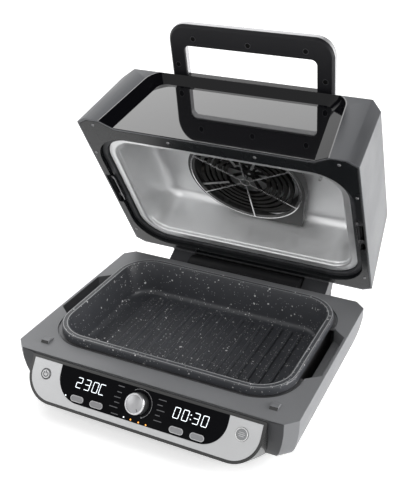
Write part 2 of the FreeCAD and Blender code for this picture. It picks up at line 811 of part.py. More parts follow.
def on_panel(shape):
    """Move a piece from the flat drawing of the panel to its place on the front."""
    matrix = FreeCAD.Matrix(
        1, 0, 0, 0,
        0, PANEL_SIN, -PANEL_COS, 0,
        0, PANEL_COS, PANEL_SIN, DECK_TOP,
        0, 0, 0, 1,
    )
    placed = shape.copy()
    placed.transformShape(matrix)
    return placed


def housing_slab(offset, z0, z1):
    """A plate with the outline of the control housing, in the flat drawing."""
    face = Part.Face(rounded_wire(
        -HOUSING_HALF - offset, HOUSING_HALF + offset, -HOUSING_BOTTOM - offset,
        -HOUSING_TOP + offset, 0.0, z0, HOUSING_CORNER + offset))
    return face.extrude(V(0, 0, z1 - z0))


def housing_block(offset):
    """The filled outer form of the control housing, with its sloped underside."""
    block = on_panel(housing_slab(offset, -70.0, 0.0))
    nose_y = -HOUSING_BOTTOM * PANEL_SIN
    nose_z = DECK_TOP - HOUSING_BOTTOM * PANEL_COS
    run = 120.0
    fall = run * math.tan(math.radians(HOUSING_UNDER_SLOPE))
    under = prism([
        V(-HALF, nose_y - 20.0, nose_z - offset + 3.0), V(-HALF, nose_y - 20.0, -60.0),
        V(-HALF, nose_y + run, -60.0), V(-HALF, nose_y + run, nose_z - fall - offset),
        V(-HALF, nose_y, nose_z - offset),
    ], V(WIDTH, 0, 0))
    behind = box(-HALF, HALF, HOUSING_BACK_Y + offset, HOUSING_BACK_Y + 100.0, -60.0, DECK_TOP)
    return cut(block, [under, behind])


def panel_housing():
    """Black tray that stands out from the front and carries the controls."""
    tray = housing_block(0.0)
    inner = on_panel(housing_slab(-HOUSING_WALL, -70.0, -BEZEL_SHEET - 2.0))
    under_gap = housing_under_filler()
    inner = inner.cut(under_gap)
    seat = on_panel(housing_slab(-BEZEL_EDGE, -BEZEL_SHEET, 1.0))
    mouth = on_panel(housing_slab(-BEZEL_EDGE - BEZEL_LEDGE, -BEZEL_SHEET - 3.0, 0.0))
    return cut(tray, [inner, seat, mouth])


def housing_under_filler():
    """The thickness of the housing's sloped underside, as a wedge to keep."""
    nose_y = -HOUSING_BOTTOM * PANEL_SIN
    nose_z = DECK_TOP - HOUSING_BOTTOM * PANEL_COS
    run = 120.0
    fall = run * math.tan(math.radians(HOUSING_UNDER_SLOPE))
    lift = HOUSING_WALL / math.cos(math.radians(HOUSING_UNDER_SLOPE))
    return prism([
        V(-HALF, nose_y - 20.0, nose_z + lift), V(-HALF, nose_y - 20.0, -60.0),
        V(-HALF, nose_y + run, -60.0), V(-HALF, nose_y + run, nose_z - fall + lift),
        V(-HALF, nose_y, nose_z + lift),
    ], V(WIDTH, 0, 0))


def glass_slab(offset, z0, z1, rise):
    """A plate with the outline of the display glass, in the flat drawing."""
    top = -HOUSING_TOP - BEZEL_EDGE + rise
    face = Part.Face(rounded_wire(-GLASS_HALF - offset, GLASS_HALF + offset,
                                  -GLASS_BOTTOM - offset, top, 0.0, z0, GLASS_CORNER + offset))
    return face.extrude(V(0, 0, z1 - z0))


def pill_slab(x, offset, z0, z1):
    """The outline of one long button."""
    half = PILL_LENGTH / 2 + offset
    tall = PILL_HEIGHT / 2 + offset
    wire = blunt_wire(x - half, x + half, -PILL_DOWN - tall, -PILL_DOWN + tall, tall, z0)
    return Part.Face(wire).extrude(V(0, 0, z1 - z0))


def panel_bezel():
    """Metal fascia with a sunk field for the glass, studs for the board and the holes."""
    plate = housing_slab(-BEZEL_EDGE - 0.2, -BEZEL_SHEET, 0.0)
    field = glass_slab(0.2, -GLASS_SHEET, 1.0, 4.0)
    holes = [disc(ENCODER_SHAFT + 1.2, 0.0, -KNOB_DOWN, -5.0, 1.0)]
    for x, radius in ((POWER_X, POWER_RADIUS), (START_X, START_RADIUS)):
        holes.append(bar(CAP_SIDES, radius + FIT, V(x, -ROUND_BUTTON_DOWN, -5.0),
                         V(x, -ROUND_BUTTON_DOWN, 1.0)))
    holes += [pill_slab(x, FIT, -5.0, 1.0) for x in PILL_XS]
    for x in (-DISPLAY_X, DISPLAY_X):
        holes.append(box(x - DISPLAY_HALF_WIDTH, x + DISPLAY_HALF_WIDTH,
                         -DISPLAY_DOWN - DISPLAY_HALF_HEIGHT,
                         -DISPLAY_DOWN + DISPLAY_HALF_HEIGHT, -5.0, 1.0))
    studs = []
    for x in (-STUD_X, STUD_X):
        for y in (-BOARD_TOP - 3.0, -BOARD_BOTTOM + 3.0):
            studs.append(box(x - 4.0, x + 4.0, y - 2.0, y + 2.0, -BOARD_BEHIND, -BEZEL_SHEET))
    return fused([cut(plate, [field] + holes)] + studs)


def display_glass():
    """Black glass with the holes for the knob's shaft and the long buttons."""
    plate = glass_slab(0.0, -GLASS_SHEET, 0.0, -0.2)
    holes = [disc(ENCODER_SHAFT + 1.2, 0.0, -KNOB_DOWN, -5.0, 1.0)]
    holes += [pill_slab(x, FIT, -5.0, 1.0) for x in PILL_XS]
    return cut(plate, holes)


def control_board():
    """Board behind the fascia."""
    return box(-BOARD_HALF, BOARD_HALF, -BOARD_BOTTOM, -BOARD_TOP,
               -BOARD_BEHIND - BOARD_SHEET, -BOARD_BEHIND)


def segment_displays():
    """Two display modules that stand on the board behind the glass."""
    modules = []
    for x in (-DISPLAY_X, DISPLAY_X):
        modules.append(box(x - DISPLAY_HALF_WIDTH + 1.0, x + DISPLAY_HALF_WIDTH - 1.0,
                           -DISPLAY_DOWN - DISPLAY_HALF_HEIGHT + 1.0,
                           -DISPLAY_DOWN + DISPLAY_HALF_HEIGHT - 1.0,
                           -BOARD_BEHIND, -GLASS_SHEET - 0.2))
    return modules


def button_places():
    """The centre of every push button in the flat drawing."""
    places = [(POWER_X, -ROUND_BUTTON_DOWN), (START_X, -ROUND_BUTTON_DOWN)]
    return places + [(x, -PILL_DOWN) for x in PILL_XS]


def tactile_switches():
    """One small switch on the board behind each push button."""
    return [box(x - SWITCH_HALF, x + SWITCH_HALF, y - SWITCH_HALF, y + SWITCH_HALF,
                -BOARD_BEHIND, -BOARD_BEHIND + SWITCH_HEIGHT) for x, y in button_places()]


def button(cap, x, y):
    """A button cap with the stem that reaches its switch."""
    end = -BOARD_BEHIND + SWITCH_HEIGHT + PRESS_TRAVEL + FIT
    half = BUTTON_STEM
    return fused([cap, box(x - half, x + half, y - half, y + half, end, -BEZEL_SHEET)])


def round_button(x, radius):
    """A round push button."""
    y = -ROUND_BUTTON_DOWN
    return button(bar(CAP_SIDES, radius, V(x, y, -BEZEL_SHEET), V(x, y, BUTTON_PROUD)), x, y)


def pill_button(x):
    """A long push button with round ends."""
    cap = pill_slab(x, 0.0, -BEZEL_SHEET, BUTTON_PROUD)
    return button(cap, x, -PILL_DOWN)


def rotary_encoder():
    """Encoder body with its bore."""
    low = -BOARD_BEHIND
    body = box(-ENCODER_HALF, ENCODER_HALF, -KNOB_DOWN - ENCODER_HALF, -KNOB_DOWN + ENCODER_HALF,
               low, low + ENCODER_HEIGHT)
    bore = disc(ENCODER_SHAFT + RUNNING, 0.0, -KNOB_DOWN, low + 1.0, 1.0)
    return body.cut(bore)


def encoder_shaft():
    """Shaft that turns in the encoder and carries the knob."""
    return disc(ENCODER_SHAFT, 0.0, -KNOB_DOWN, -BOARD_BEHIND + 1.2, KNOB_HEIGHT - KNOB_WALL - 0.4)


def selector_knob():
    """Turned knob with a bevelled face."""
    r = KNOB_RADIUS
    profile = [
        V(0, 0, KNOB_HEIGHT), V(r - 1.4, 0, KNOB_HEIGHT), V(r, 0, KNOB_HEIGHT - 1.4),
        V(r, 0, KNOB_GAP), V(0, 0, KNOB_GAP),
    ]
    knob = polygon_face(profile).revolve(V(0, 0, 0), V(0, 0, 1), 360)
    bore = disc(ENCODER_SHAFT + 0.1, 0, 0, -1.0, KNOB_HEIGHT - KNOB_WALL)
    knob = knob.cut(bore)
    knob.translate(V(0, -KNOB_DOWN, 0))
    return knob


# Lid, made closed: y back from its front edge, z up from the plane of its rim


def to_open(shape):
    """Move a piece of the lid from the closed drawing to the open pose."""
    placed = shape.copy()
    placed.translate(V(0, 0, RIM_Z))
    placed.rotate(V(0, HINGE_Y, HINGE_Z), V(1, 0, 0), -OPEN_ANGLE)
    return placed


def lid_form(inset, low):
    """The outer form of the lid, made smaller by an inset, with flat drafted sides."""
    share = low / LID_HEIGHT
    top = LID_HEIGHT - inset
    up = top / LID_HEIGHT

    def ring(level, z):
        return octagon(HALF - LID_SIDE_TAPER * level - inset, LID_FRONT_LEAN * level + inset,
                       LID_DEPTH - LID_REAR_LEAN * level - inset, LID_CORNER_ACROSS,
                       LID_CORNER_BACK, z)

    return frustum(ring(share, low), ring(up, top)).cut(both(side_slope(inset)))


def side_slope(inset):
    """The wedge outside the slope between the lid's right side and its top."""
    start = LID_HEIGHT - LID_SLOPE_DROP
    low = V(HALF - LID_SIDE_TAPER * start / LID_HEIGHT, -WIDTH, start)
    high = V(HALF - LID_SLOPE_SIDE, -WIDTH, LID_HEIGHT)
    along = (high - low).normalize()
    out = V(along.z, 0, -along.x)
    low = low - along * WIDTH - out * inset
    return prism([low, low + along * (2 * WIDTH), low + along * (2 * WIDTH) + out * WIDTH,
                  low + out * WIDTH], V(0, 3 * WIDTH, 0))


def recess_wire(edge, depth):
    """The outline of the scooped front at a depth behind the lid's front face."""
    length = math.hypot(LID_FRONT_LEAN, LID_HEIGHT)
    rise = V(0, LID_FRONT_LEAN / length, LID_HEIGHT / length)
    inward = V(0, LID_HEIGHT / length, -LID_FRONT_LEAN / length)
    slope = RECESS_NARROWS / length
    lean = math.atan(slope)
    inset = edge + depth * RECESS_PITCH
    half = RECESS_HALF - inset / math.cos(lean)
    top = length + RECESS_OVER_TOP - inset
    radius = RECESS_CORNER - inset
    reach = radius * math.tan((math.pi / 2 - lean) / 2)
    side = V(half - slope * top + reach * math.sin(lean), top - reach * math.cos(lean), 0)
    centre = side - V(math.cos(lean), math.sin(lean), 0) * radius
    corner = V(half - slope * top, top, 0)
    middle = centre + (corner - centre).normalize() * radius
    end = V(corner.x - reach, top, 0)
    foot = V(half + slope * RECESS_BELOW, -RECESS_BELOW, 0)

    def at(point, sign=1):
        return V(sign * point.x, 0, 0) + rise * point.y + inward * depth

    return Part.Wire([
        Part.makeLine(at(foot), at(side)),
        Part.Arc(at(side), at(middle), at(end)).toShape(),
        Part.makeLine(at(end), at(end, -1)),
        Part.Arc(at(end, -1), at(middle, -1), at(side, -1)).toShape(),
        Part.makeLine(at(side, -1), at(foot, -1)),
        Part.makeLine(at(foot, -1), at(foot)),
    ])


def recess(edge, depth):
    """The space scooped out of the lid's front, with sloped walls at its sides and top."""
    return ruled([recess_wire(edge, -1.0), recess_wire(edge, depth)])


def visible_recess():
    """The recess as it is seen, inside the glossy panel."""
    return recess(PANEL_EDGE, RECESS_DEPTH)


def shell_recess():
    """The recess in the lid's shell, which the glossy panel lines."""
    return recess(0.0, SHELL_RECESS)


def inner_core(clear, low):
    """The room inside the lid's walls, less a clearance."""
    wall = LID_WALL + clear
    side = wall / math.sin(math.atan(1 / RECESS_PITCH))
    return lid_form(wall, low).cut(recess(-side, SHELL_RECESS + wall))


def softened_lid(low):
    """The outer form of the lid with a bevel along its front and rear top edges."""
    form = lid_form(0.0, low)
    drop = LID_HEIGHT - LID_EDGE_BEVEL
    front = LID_FRONT_LEAN * drop / LID_HEIGHT
    rear = LID_DEPTH - LID_REAR_LEAN * drop / LID_HEIGHT
    for outer, inner in ((front, LID_FRONT_LEAN + LID_EDGE_BEVEL),
                         (rear, LID_DEPTH - LID_REAR_LEAN - LID_EDGE_BEVEL)):
        past = 2 * outer - inner
        form = form.cut(prism([
            V(-HALF, outer, drop), V(-HALF, inner, LID_HEIGHT),
            V(-HALF, inner, LID_HEIGHT + LID_EDGE_BEVEL), V(-HALF, past, LID_HEIGHT + LID_EDGE_BEVEL),
            V(-HALF, past, drop),
        ], V(WIDTH, 0, 0)))
    return form


def lid_shell():
    """Drafted cover with cut corners, a scooped front, a vent window and a hollow inside."""
    form = softened_lid(0.0).cut(shell_recess()).cut(inner_core(0.0, -2.0))
    return form.cut(on_rear(rounded_slab(-VENT_HALF - FIT, VENT_HALF + FIT, VENT_LOW - FIT,
                                         VENT_HIGH + FIT, 8.0, -20.0, 20.0)))


def on_rear(shape):
    """Move a piece from a flat drawing to the leaning rear face of the lid."""
    length = math.hypot(LID_REAR_LEAN, LID_HEIGHT)
    lean = LID_REAR_LEAN / length
    rise = LID_HEIGHT / length
    matrix = FreeCAD.Matrix(
        -1, 0, 0, 0,
        0, -lean, rise, LID_DEPTH,
        0, rise, lean, 0,
        0, 0, 0, 1,
    )
    placed = shape.copy()
    placed.transformShape(matrix)
    return placed


def lid_rear_vent():
    """Slatted grille in the rear of the lid that lets the motor's air out."""
    plate = rounded_slab(-VENT_HALF, VENT_HALF, VENT_LOW, VENT_HIGH, 8.0 - FIT, -LID_WALL, 0.4)
    pitch = (VENT_HIGH - VENT_LOW - 8.0) / VENT_SLATS
    gaps = []
    for i in range(VENT_SLATS):
        y = VENT_LOW + 4.0 + i * pitch
        gaps.append(box(-VENT_HALF + 6.0, VENT_HALF - 6.0, y + 1.6, y + pitch - 1.6, -9.0, 9.0))
    return on_rear(cut(plate, gaps))


def lid_front_panel():
    """Glossy skin that lines the scooped front and folds over onto the top."""
    return softened_lid(0.2).common(shell_recess()).cut(visible_recess())


def mouth_slab(inset, z0, z1):
    """A plate with the outline of the rim's mouth, made smaller by an inset."""
    return rounded_slab(-RIM_MOUTH_HALF + inset, RIM_MOUTH_HALF - inset, RIM_MOUTH_FRONT + inset,
                        RIM_MOUTH_REAR - inset, RIM_MOUTH_CORNER - inset, z0, z1)


def blunt_mouth_slab(inset, z0, z1):
    """A plate with the outline of the rim's mouth for a hidden side."""
    wire = blunt_wire(-RIM_MOUTH_HALF + inset, RIM_MOUTH_HALF - inset, RIM_MOUTH_FRONT + inset,
                      RIM_MOUTH_REAR - inset, RIM_MOUTH_CORNER - inset, z0)
    return Part.Face(wire).extrude(V(0, 0, z1 - z0))


def notch(z0, z1, clear):
    """The slot beside the mouth on the right, open towards the liner."""
    return box(RIM_MOUTH_HALF - 6.0, RIM_MOUTH_HALF + NOTCH_REACH - clear,
               NOTCH_FRONT + clear, NOTCH_REAR - clear, z0, z1)


def lid_rim_plate():
    """Underside frame of the lid: plate, collar round the mouth and the ledge for the liner."""
    slab = box(-HALF, HALF, -10.0, LID_DEPTH + 10.0, 0.0, RIM_PLATE)
    plate = inner_core(FIT, -2.0).common(slab)
    collar = blunt_mouth_slab(-RIM_WALL, 0.0, LEDGE_HEIGHT + 2.0)
    frame = fused([plate, collar])
    frame = frame.cut(mouth_slab(0.0, -1.0, LEDGE_HEIGHT))
    frame = frame.cut(blunt_mouth_slab(LEDGE_INNER, 0.0, LEDGE_HEIGHT + 5.0))
    return cut(frame, both(notch(-1.0, LEDGE_HEIGHT - 3.0, 0.0)))


def lid_gasket():
    """Seal round the liner."""
    low = LEDGE_HEIGHT - GASKET_HEIGHT
    return mouth_slab(0.5, low, LEDGE_HEIGHT).cut(mouth_slab(FLANGE_INSET - 0.7, low - 1.0, 20.0))


def liner_wire(inset, z, blunt):
    """The outline of the liner's cavity at one height."""
    edge = FLANGE_INSET + FLANGE_WIDTH + inset
    draw = blunt_wire if blunt else rounded_wire
    return draw(-RIM_MOUTH_HALF + edge, RIM_MOUTH_HALF - edge, RIM_MOUTH_FRONT + edge,
                RIM_MOUTH_REAR - edge, RIM_MOUTH_CORNER - edge, z)


def liner_form(grow, low, blunt=False):
    """The drawn cavity, grown by a sheet's thickness for its outside."""
    levels = [(low, 0.0), (LINER_CEILING - LINER_SHOULDER, LINER_DRAFT),
              (LINER_CEILING + grow, LINER_DRAFT + LINER_SHOULDER_IN)]
    return ruled([liner_wire(inset - grow, z, blunt) for z, inset in levels])


def lid_liner():
    """Drawn metal cavity of the lid with its flange, shaft hole and rod holes."""
    flange = mouth_slab(FLANGE_INSET, LEDGE_HEIGHT - FLANGE_SHEET, LEDGE_HEIGHT)
    outer = liner_form(FLANGE_SHEET, LEDGE_HEIGHT - FLANGE_SHEET, True)
    inner = liner_form(0.0, LEDGE_HEIGHT - FLANGE_SHEET)
    mouth = Part.Face(liner_wire(0.0, 0.0, False)).extrude(V(0, 0, LEDGE_HEIGHT - FLANGE_SHEET))
    sheet = cut(fused([flange, outer]), [inner, mouth])
    holes = [disc(SHAFT_RADIUS + 1.5, 0.0, FAN_Y, 60.0, 130.0)]
    for point in spiral_ends():
        holes.append(bar(ROD_SIDES, SPIRAL_ROD + FIT, V(point.x, point.y, 60.0),
                         V(point.x, point.y, 130.0)))
    return cut(sheet, holes)


def liner_clips():
    """Bright retaining clips in the side slots of the rim."""
    x = RIM_MOUTH_HALF
    y0 = (NOTCH_FRONT + NOTCH_REAR - CLIP_LENGTH) / 2
    top = LEDGE_HEIGHT - GASKET_HEIGHT - FIT
    strip = box(x - 4.0, x - 2.6, y0, y0 + CLIP_LENGTH, top - 5.4, top)
    feet = [box(x - 4.0, x + NOTCH_REACH, y, y + 8.0, top - 1.2, top)
            for y in (y0 + 4.0, y0 + CLIP_LENGTH - 12.0)]
    return both(fused([strip] + feet))


def shroud_outline(inset, z0, z1):
    """Round fan housing with one squared corner at the rear right."""
    radius = SHROUD_RADIUS - inset
    rear = FAN_Y + radius
    round_part = disc(radius, 0.0, FAN_Y, z0, z1)
    if inset > 0:
        round_part = bar(36, radius, V(0.0, FAN_Y, z0), V(0.0, FAN_Y, z1))
    corner = prism([
        V(0, FAN_Y, z0), V(0, rear, z0), V(SHROUD_CORNER_X - inset, rear, z0),
        V(SHROUD_RADIUS - 1.5 - inset, FAN_Y + 8.0, z0),
    ], V(0, 0, z1 - z0))
    return fused([round_part, corner])


def shroud_posts():
    """The places of the shroud's four posts."""
    posts = []
    for degrees in (20.0, 125.0, 205.0, 335.0):
        angle = math.radians(degrees)
        reach = (SHROUD_RADIUS + SHROUD_MOUTH) / 2
        posts.append((reach * math.cos(angle), FAN_Y + reach * math.sin(angle)))
    return posts


def fan_shroud():
    """Housing round the heating coil and fan, on posts from the cavity's ceiling."""
    top = SHROUD_FACE + SHROUD_SKIRT
    outer = shroud_outline(0.0, SHROUD_FACE, top)
    inner = shroud_outline(SHROUD_SHEET, SHROUD_FACE + SHROUD_SHEET, top + 1.0)
    mouth = disc(SHROUD_MOUTH, 0.0, FAN_Y, SHROUD_FACE - 1.0, SHROUD_FACE + 3.0)
    cup = cut(outer, [inner, mouth])
    posts = [bar(6, SHROUD_POST_RADIUS, V(x, y, SHROUD_FACE + 0.5), V(x, y, post_top(x, y)))
             for x, y in shroud_posts()]
    return fused([cup] + posts)


def post_top(x, y):
    """Height where an upright line at this place meets the inside of the liner."""
    line = Part.LineSegment(V(x, y, SHROUD_FACE), V(x, y, LINER_CEILING + 20.0)).toShape()
    radius = SHROUD_POST_RADIUS
    inside = liner_form(0.0, LEDGE_HEIGHT - FLANGE_SHEET)
    tops = []
    for dx, dy in ((radius, 0), (-radius, 0), (0, radius), (0, -radius)):
        probe = line.copy()
        probe.translate(V(dx, dy, 0))
        tops.append(probe.common(inside).BoundBox.ZMax)
    return min(tops)


def fan_guard():
    """Wire guard: an outer ring, a small hub ring and six arms."""
    z = SHROUD_FACE - GUARD_WIRE
    ring_radius = SHROUD_MOUTH + 5.0
    axis = V(0, FAN_Y, z)
    rings = []
    for radius in (ring_radius, GUARD_HUB):
        section = Part.Face(regular(4, GUARD_WIRE, axis + V(radius, 0, 0), V(0, 1, 0)))
        rings.append(section.revolve(axis, V(0, 0, 1), 360))
    arms = []
    for i in range(GUARD_ARMS):
        angle = math.radians(30.0 + i * 360.0 / GUARD_ARMS)
        along = V(math.cos(angle), math.sin(angle), 0)
        arms.append(bar(4, GUARD_WIRE, axis + along * GUARD_HUB, axis + along * ring_radius))
    return fused(rings + arms)


def spiral_half_turns():
    """Centre, radius and side of every half turn of the heating coil, from the outside in."""
    turns = []
    for i in range(SPIRAL_HALF_TURNS):
        radius = SPIRAL_RADIUS - i * SPIRAL_PITCH / 2
        shift = 0.0 if i % 2 == 0 else SPIRAL_PITCH / 2
        turns.append((V(shift, FAN_Y, SPIRAL_HEIGHT), radius, 1 if i % 2 == 0 else -1))
    return turns


def spiral_frame():
    """Start point of the coil, and the end point of its last half turn."""
    centre, radius, side = spiral_half_turns()[0]
    start = centre + V(-radius * side, 0, 0)
    centre, radius, side = spiral_half_turns()[-1]
    end = centre + V(radius * side, 0, 0)
    return start, end, side


def spiral_ends():
    """Where the two ends of the coil go up through the ceiling."""
    start, end, side = spiral_frame()
    lead_run = 2 * lead_step()[0]
    across = SHROUD_MOUTH - 4.0
    return (V(start.x, start.y - LEAD_BEND, 0),
            V(side * across, end.y - side * (lead_run + LEAD_BEND), 0))


def lead_step():
    """Run and angle of each arc of the S bend that lifts the inner end of the coil."""
    angle = math.acos(1 - LEAD_RISE / (2 * LEAD_BEND))
    return LEAD_BEND * math.sin(angle), angle


def upper_element():
    """Flat coil of heating rod; its inner end crosses above the coil and both ends go up."""
    edges = []
    start, end, side = spiral_frame()
    top = LINER_CEILING + FLANGE_SHEET + 6.0
    k = math.sqrt(0.5)
    foot = V(start.x, start.y - LEAD_BEND, start.z + LEAD_BEND)
    edges.append(Part.LineSegment(V(foot.x, foot.y, top), foot).toShape())
    bend = start + V(0, -LEAD_BEND * k, LEAD_BEND * (1 - k))
    edges.append(Part.Arc(foot, bend, start).toShape())
    for centre, radius, turn in spiral_half_turns():
        first = centre + V(-radius * turn, 0, 0)
        over = centre + V(0, radius * turn, 0)
        last = centre + V(radius * turn, 0, 0)
        edges.append(Part.Arc(first, over, last).toShape())
    run, angle = lead_step()
    away = -side
    p0 = end
    r = LEAD_BEND
    half = angle / 2
    m1 = p0 + V(0, away * r * math.sin(half), r * (1 - math.cos(half)))
    p1 = p0 + V(0, away * run, r * (1 - math.cos(angle)))
    p2 = p1 + V(0, away * run, r * (1 - math.cos(angle)))
    m2 = p2 - V(0, away * r * math.sin(half), r * (1 - math.cos(half)))
    edges.append(Part.Arc(p0, m1, p1).toShape())
    edges.append(Part.Arc(p1, m2, p2).toShape())
    turn_centre = p2 + V(side * r, 0, 0)
    p3 = turn_centre + V(0, away * r, 0)
    m3 = turn_centre + V(-side * r * k, away * r * k, 0)
    edges.append(Part.Arc(p2, m3, p3).toShape())
    across = SHROUD_MOUTH - 4.0
    p4 = V(side * (across - r), p3.y, p3.z)
    edges.append(Part.LineSegment(p3, p4).toShape())
    p5 = V(side * across, p3.y, p3.z + r)
    m5 = p4 + V(side * r * k, 0, r * (1 - k))
    edges.append(Part.Arc(p4, m5, p5).toShape())
    edges.append(Part.LineSegment(p5, V(p5.x, p5.y, top)).toShape())
    print_self_gap(edges)
    return tube(edges, SPIRAL_ROD, V(foot.x, foot.y, top), V(0, 0, -1))


def print_self_gap(edges):
    """Measure the least gap between parts of the coil that don't follow each other."""
    points = []
    for edge in edges:
        count = max(2, int(edge.Length / 2.0))
        points += [edge.valueAt(edge.FirstParameter + (edge.LastParameter - edge.FirstParameter)
                                * i / count) for i in range(count)]
    gaps = []
    for i, a in enumerate(points):
        for b in points[i + 10:]:
            gaps.append(a.distanceToPoint(b))
    print("coil: length", round(sum(e.Length for e in edges), 1),
          "least gap to itself", round(min(gaps) - 2 * SPIRAL_ROD, 2))


def element_clips():
    """Three strips on the shroud that hold the coil."""
    clips = []
    low = SHROUD_FACE + SHROUD_SHEET
    inner = SPIRAL_RADIUS - (SPIRAL_HALF_TURNS - 1) / 2 * SPIRAL_PITCH - SPIRAL_ROD
    outer = SHROUD_RADIUS - SHROUD_SHEET - 2.6
    for degrees in (160.0, 250.0, 295.0):
        angle = math.radians(degrees)
        along = V(math.cos(angle), math.sin(angle), 0)
        across = V(-along.y, along.x, 0) * 2.0
        start = V(0, FAN_Y, low) + along * inner
        end = V(0, FAN_Y, low) + along * outer
        clips.append(prism([start - across, start + across, end + across, end - across],
                           V(0, 0, COIL_STRIP)))
    return clips


def convection_fan():
    """Fan wheel with bent blades on a hub."""
    z0 = FAN_LOW
    hub = disc(9.0, 0.0, FAN_Y, z0, z0 + FAN_HEIGHT - 1.0)
    blades = []
    for i in range(FAN_BLADES):
        outline = [V(7.0, FAN_Y - 0.6, z0), V(FAN_RADIUS, FAN_Y - 7.0, z0),
                   V(FAN_RADIUS, FAN_Y - 5.6, z0), V(7.0, FAN_Y + 0.6, z0)]
        blade = prism(outline, V(0, 0, FAN_HEIGHT - 1.0))
        blade.rotate(V(0, FAN_Y, 0), V(0, 0, 1), i * 360.0 / FAN_BLADES)
        blades.append(blade)
    wheel = hub.multiFuse(blades).removeSplitter()
    return wheel.cut(disc(SHAFT_RADIUS + RUNNING, 0.0, FAN_Y, z0 - 1.0, z0 + 20.0))


def motor_shaft():
    """Shaft from the fan through the motor to the cooling fan."""
    return disc(SHAFT_RADIUS, 0.0, FAN_Y, FAN_LOW - 0.5, COOLING_LOW + COOLING_FAN_HEIGHT)


def fan_motor():
    """Motor with a laminated waist and two bearing caps."""
    body = bar(12, MOTOR_RADIUS - MOTOR_CAP_IN, V(0.0, FAN_Y, MOTOR_LOW),
               V(0.0, FAN_Y, MOTOR_TOP))
    waist = prism(octagon(MOTOR_RADIUS, FAN_Y - MOTOR_RADIUS, FAN_Y + MOTOR_RADIUS, MOTOR_CORNER,
                          MOTOR_CORNER, MOTOR_LOW + MOTOR_CAP),
                  V(0, 0, MOTOR_HEIGHT - 2 * MOTOR_CAP))
    bore = disc(SHAFT_RADIUS + RUNNING, 0.0, FAN_Y, MOTOR_LOW - 1.0, MOTOR_TOP + 1.0)
    return fused([body, waist]).cut(bore)


def motor_bracket():
    """Bent sheet that stands on the liner's ceiling and carries the motor."""
    floor = LINER_CEILING + FLANGE_SHEET
    half = MOTOR_RADIUS + BRACKET_BEYOND_MOTOR
    foot = half + BRACKET_FOOT
    shelf = half - BRACKET_SLOPE
    right = [
        V(shelf, 0, MOTOR_LOW - BRACKET_SHEET), V(half, 0, floor), V(foot, 0, floor),
        V(foot, 0, floor + BRACKET_SHEET), V(half + 1.0, 0, floor + BRACKET_SHEET),
        V(shelf + 1.0, 0, MOTOR_LOW),
    ]
    left = [V(-p.x, 0, p.z) for p in reversed(right)]
    strap = prism(right + left, V(0, BRACKET_WIDTH, 0))
    strap.translate(V(0, FAN_Y - BRACKET_WIDTH / 2, 0))
    return strap.cut(disc(SHAFT_RADIUS + 2.0, 0.0, FAN_Y, floor, MOTOR_LOW + 5.0))


def cooling_fan():
    """Small fan above the motor that draws air through the lid's vent."""
    hub = disc(7.0, 0.0, FAN_Y, COOLING_LOW, COOLING_LOW + COOLING_FAN_HEIGHT)
    blades = []
    for i in range(7):
        outline = [V(5.0, FAN_Y - 0.6, COOLING_LOW), V(COOLING_FAN_RADIUS, FAN_Y - 4.0, COOLING_LOW),
                   V(COOLING_FAN_RADIUS, FAN_Y - 2.8, COOLING_LOW), V(5.0, FAN_Y + 0.6, COOLING_LOW)]
        blade = prism(outline, V(0, 0, COOLING_FAN_HEIGHT))
        blade.rotate(V(0, FAN_Y, 0), V(0, 0, 1), i * 360.0 / 7)
        blades.append(blade)
    wheel = hub.multiFuse(blades).removeSplitter()
    return wheel.cut(disc(SHAFT_RADIUS + RUNNING, 0.0, FAN_Y, COOLING_LOW - 1.0, LID_HEIGHT))


def cavity_sensor():
    """Temperature probe that hangs from the liner's ceiling beside the fan."""
    x, y = SHROUD_RADIUS + SENSOR_BESIDE, FAN_Y - SENSOR_FORWARD
    foot = box(x - 9.0, x + 9.0, y - 5.0, y + 5.0, LINER_CEILING - 1.4, LINER_CEILING)
    tip = bar(6, SENSOR_RADIUS, V(x, y, LINER_CEILING - 1.0), V(x, y, LINER_CEILING - SENSOR_LENGTH))
    return fused([foot, tip])


# Handle, made flat: x across, y from its front bar to the lid, z from its dark underside


def on_handle(shape):
    """Move a piece of the handle from its flat drawing to its place on the closed lid."""
    tilt = math.radians(HANDLE_TILT)
    matrix = FreeCAD.Matrix(
        1, 0, 0, 0,
        0, math.cos(tilt), math.sin(tilt), HANDLE_ROOT_Y,
        0, -math.sin(tilt), math.cos(tilt), HANDLE_ROOT_HEIGHT,
        0, 0, 0, 1,
    )
    placed = shape.copy()
    placed.transformShape(matrix)
    return placed


def loop_wire(offset, z):
    """Outer outline of the handle, grown by an offset at its front and sides."""
    return rounded_wire(-GRIP_HALF - offset, GRIP_HALF + offset, -GRIP_REACH - offset, GRIP_TAIL,
                        0.0, z, GRIP_CORNER + offset)


def loop_window(rear, z0, z1):
    """The opening of the handle from its front bar to a place behind."""
    return rounded_slab(-GRIP_HALF + GRIP_LEG, GRIP_HALF - GRIP_LEG, -GRIP_REACH + GRIP_BAR, rear,
                        0.0, z0, z1, GRIP_INNER_CORNER)


def handle_grip():
    """Dark lower half of the handle with a sloped outer edge."""
    form = ruled([loop_wire(0.0, 0.0), loop_wire(GRIP_CHAMFER, GRIP_THICKNESS)])
    return on_handle(form.cut(loop_window(GRIP_TAIL + 10.0, -1.0, GRIP_THICKNESS + 1.0)))


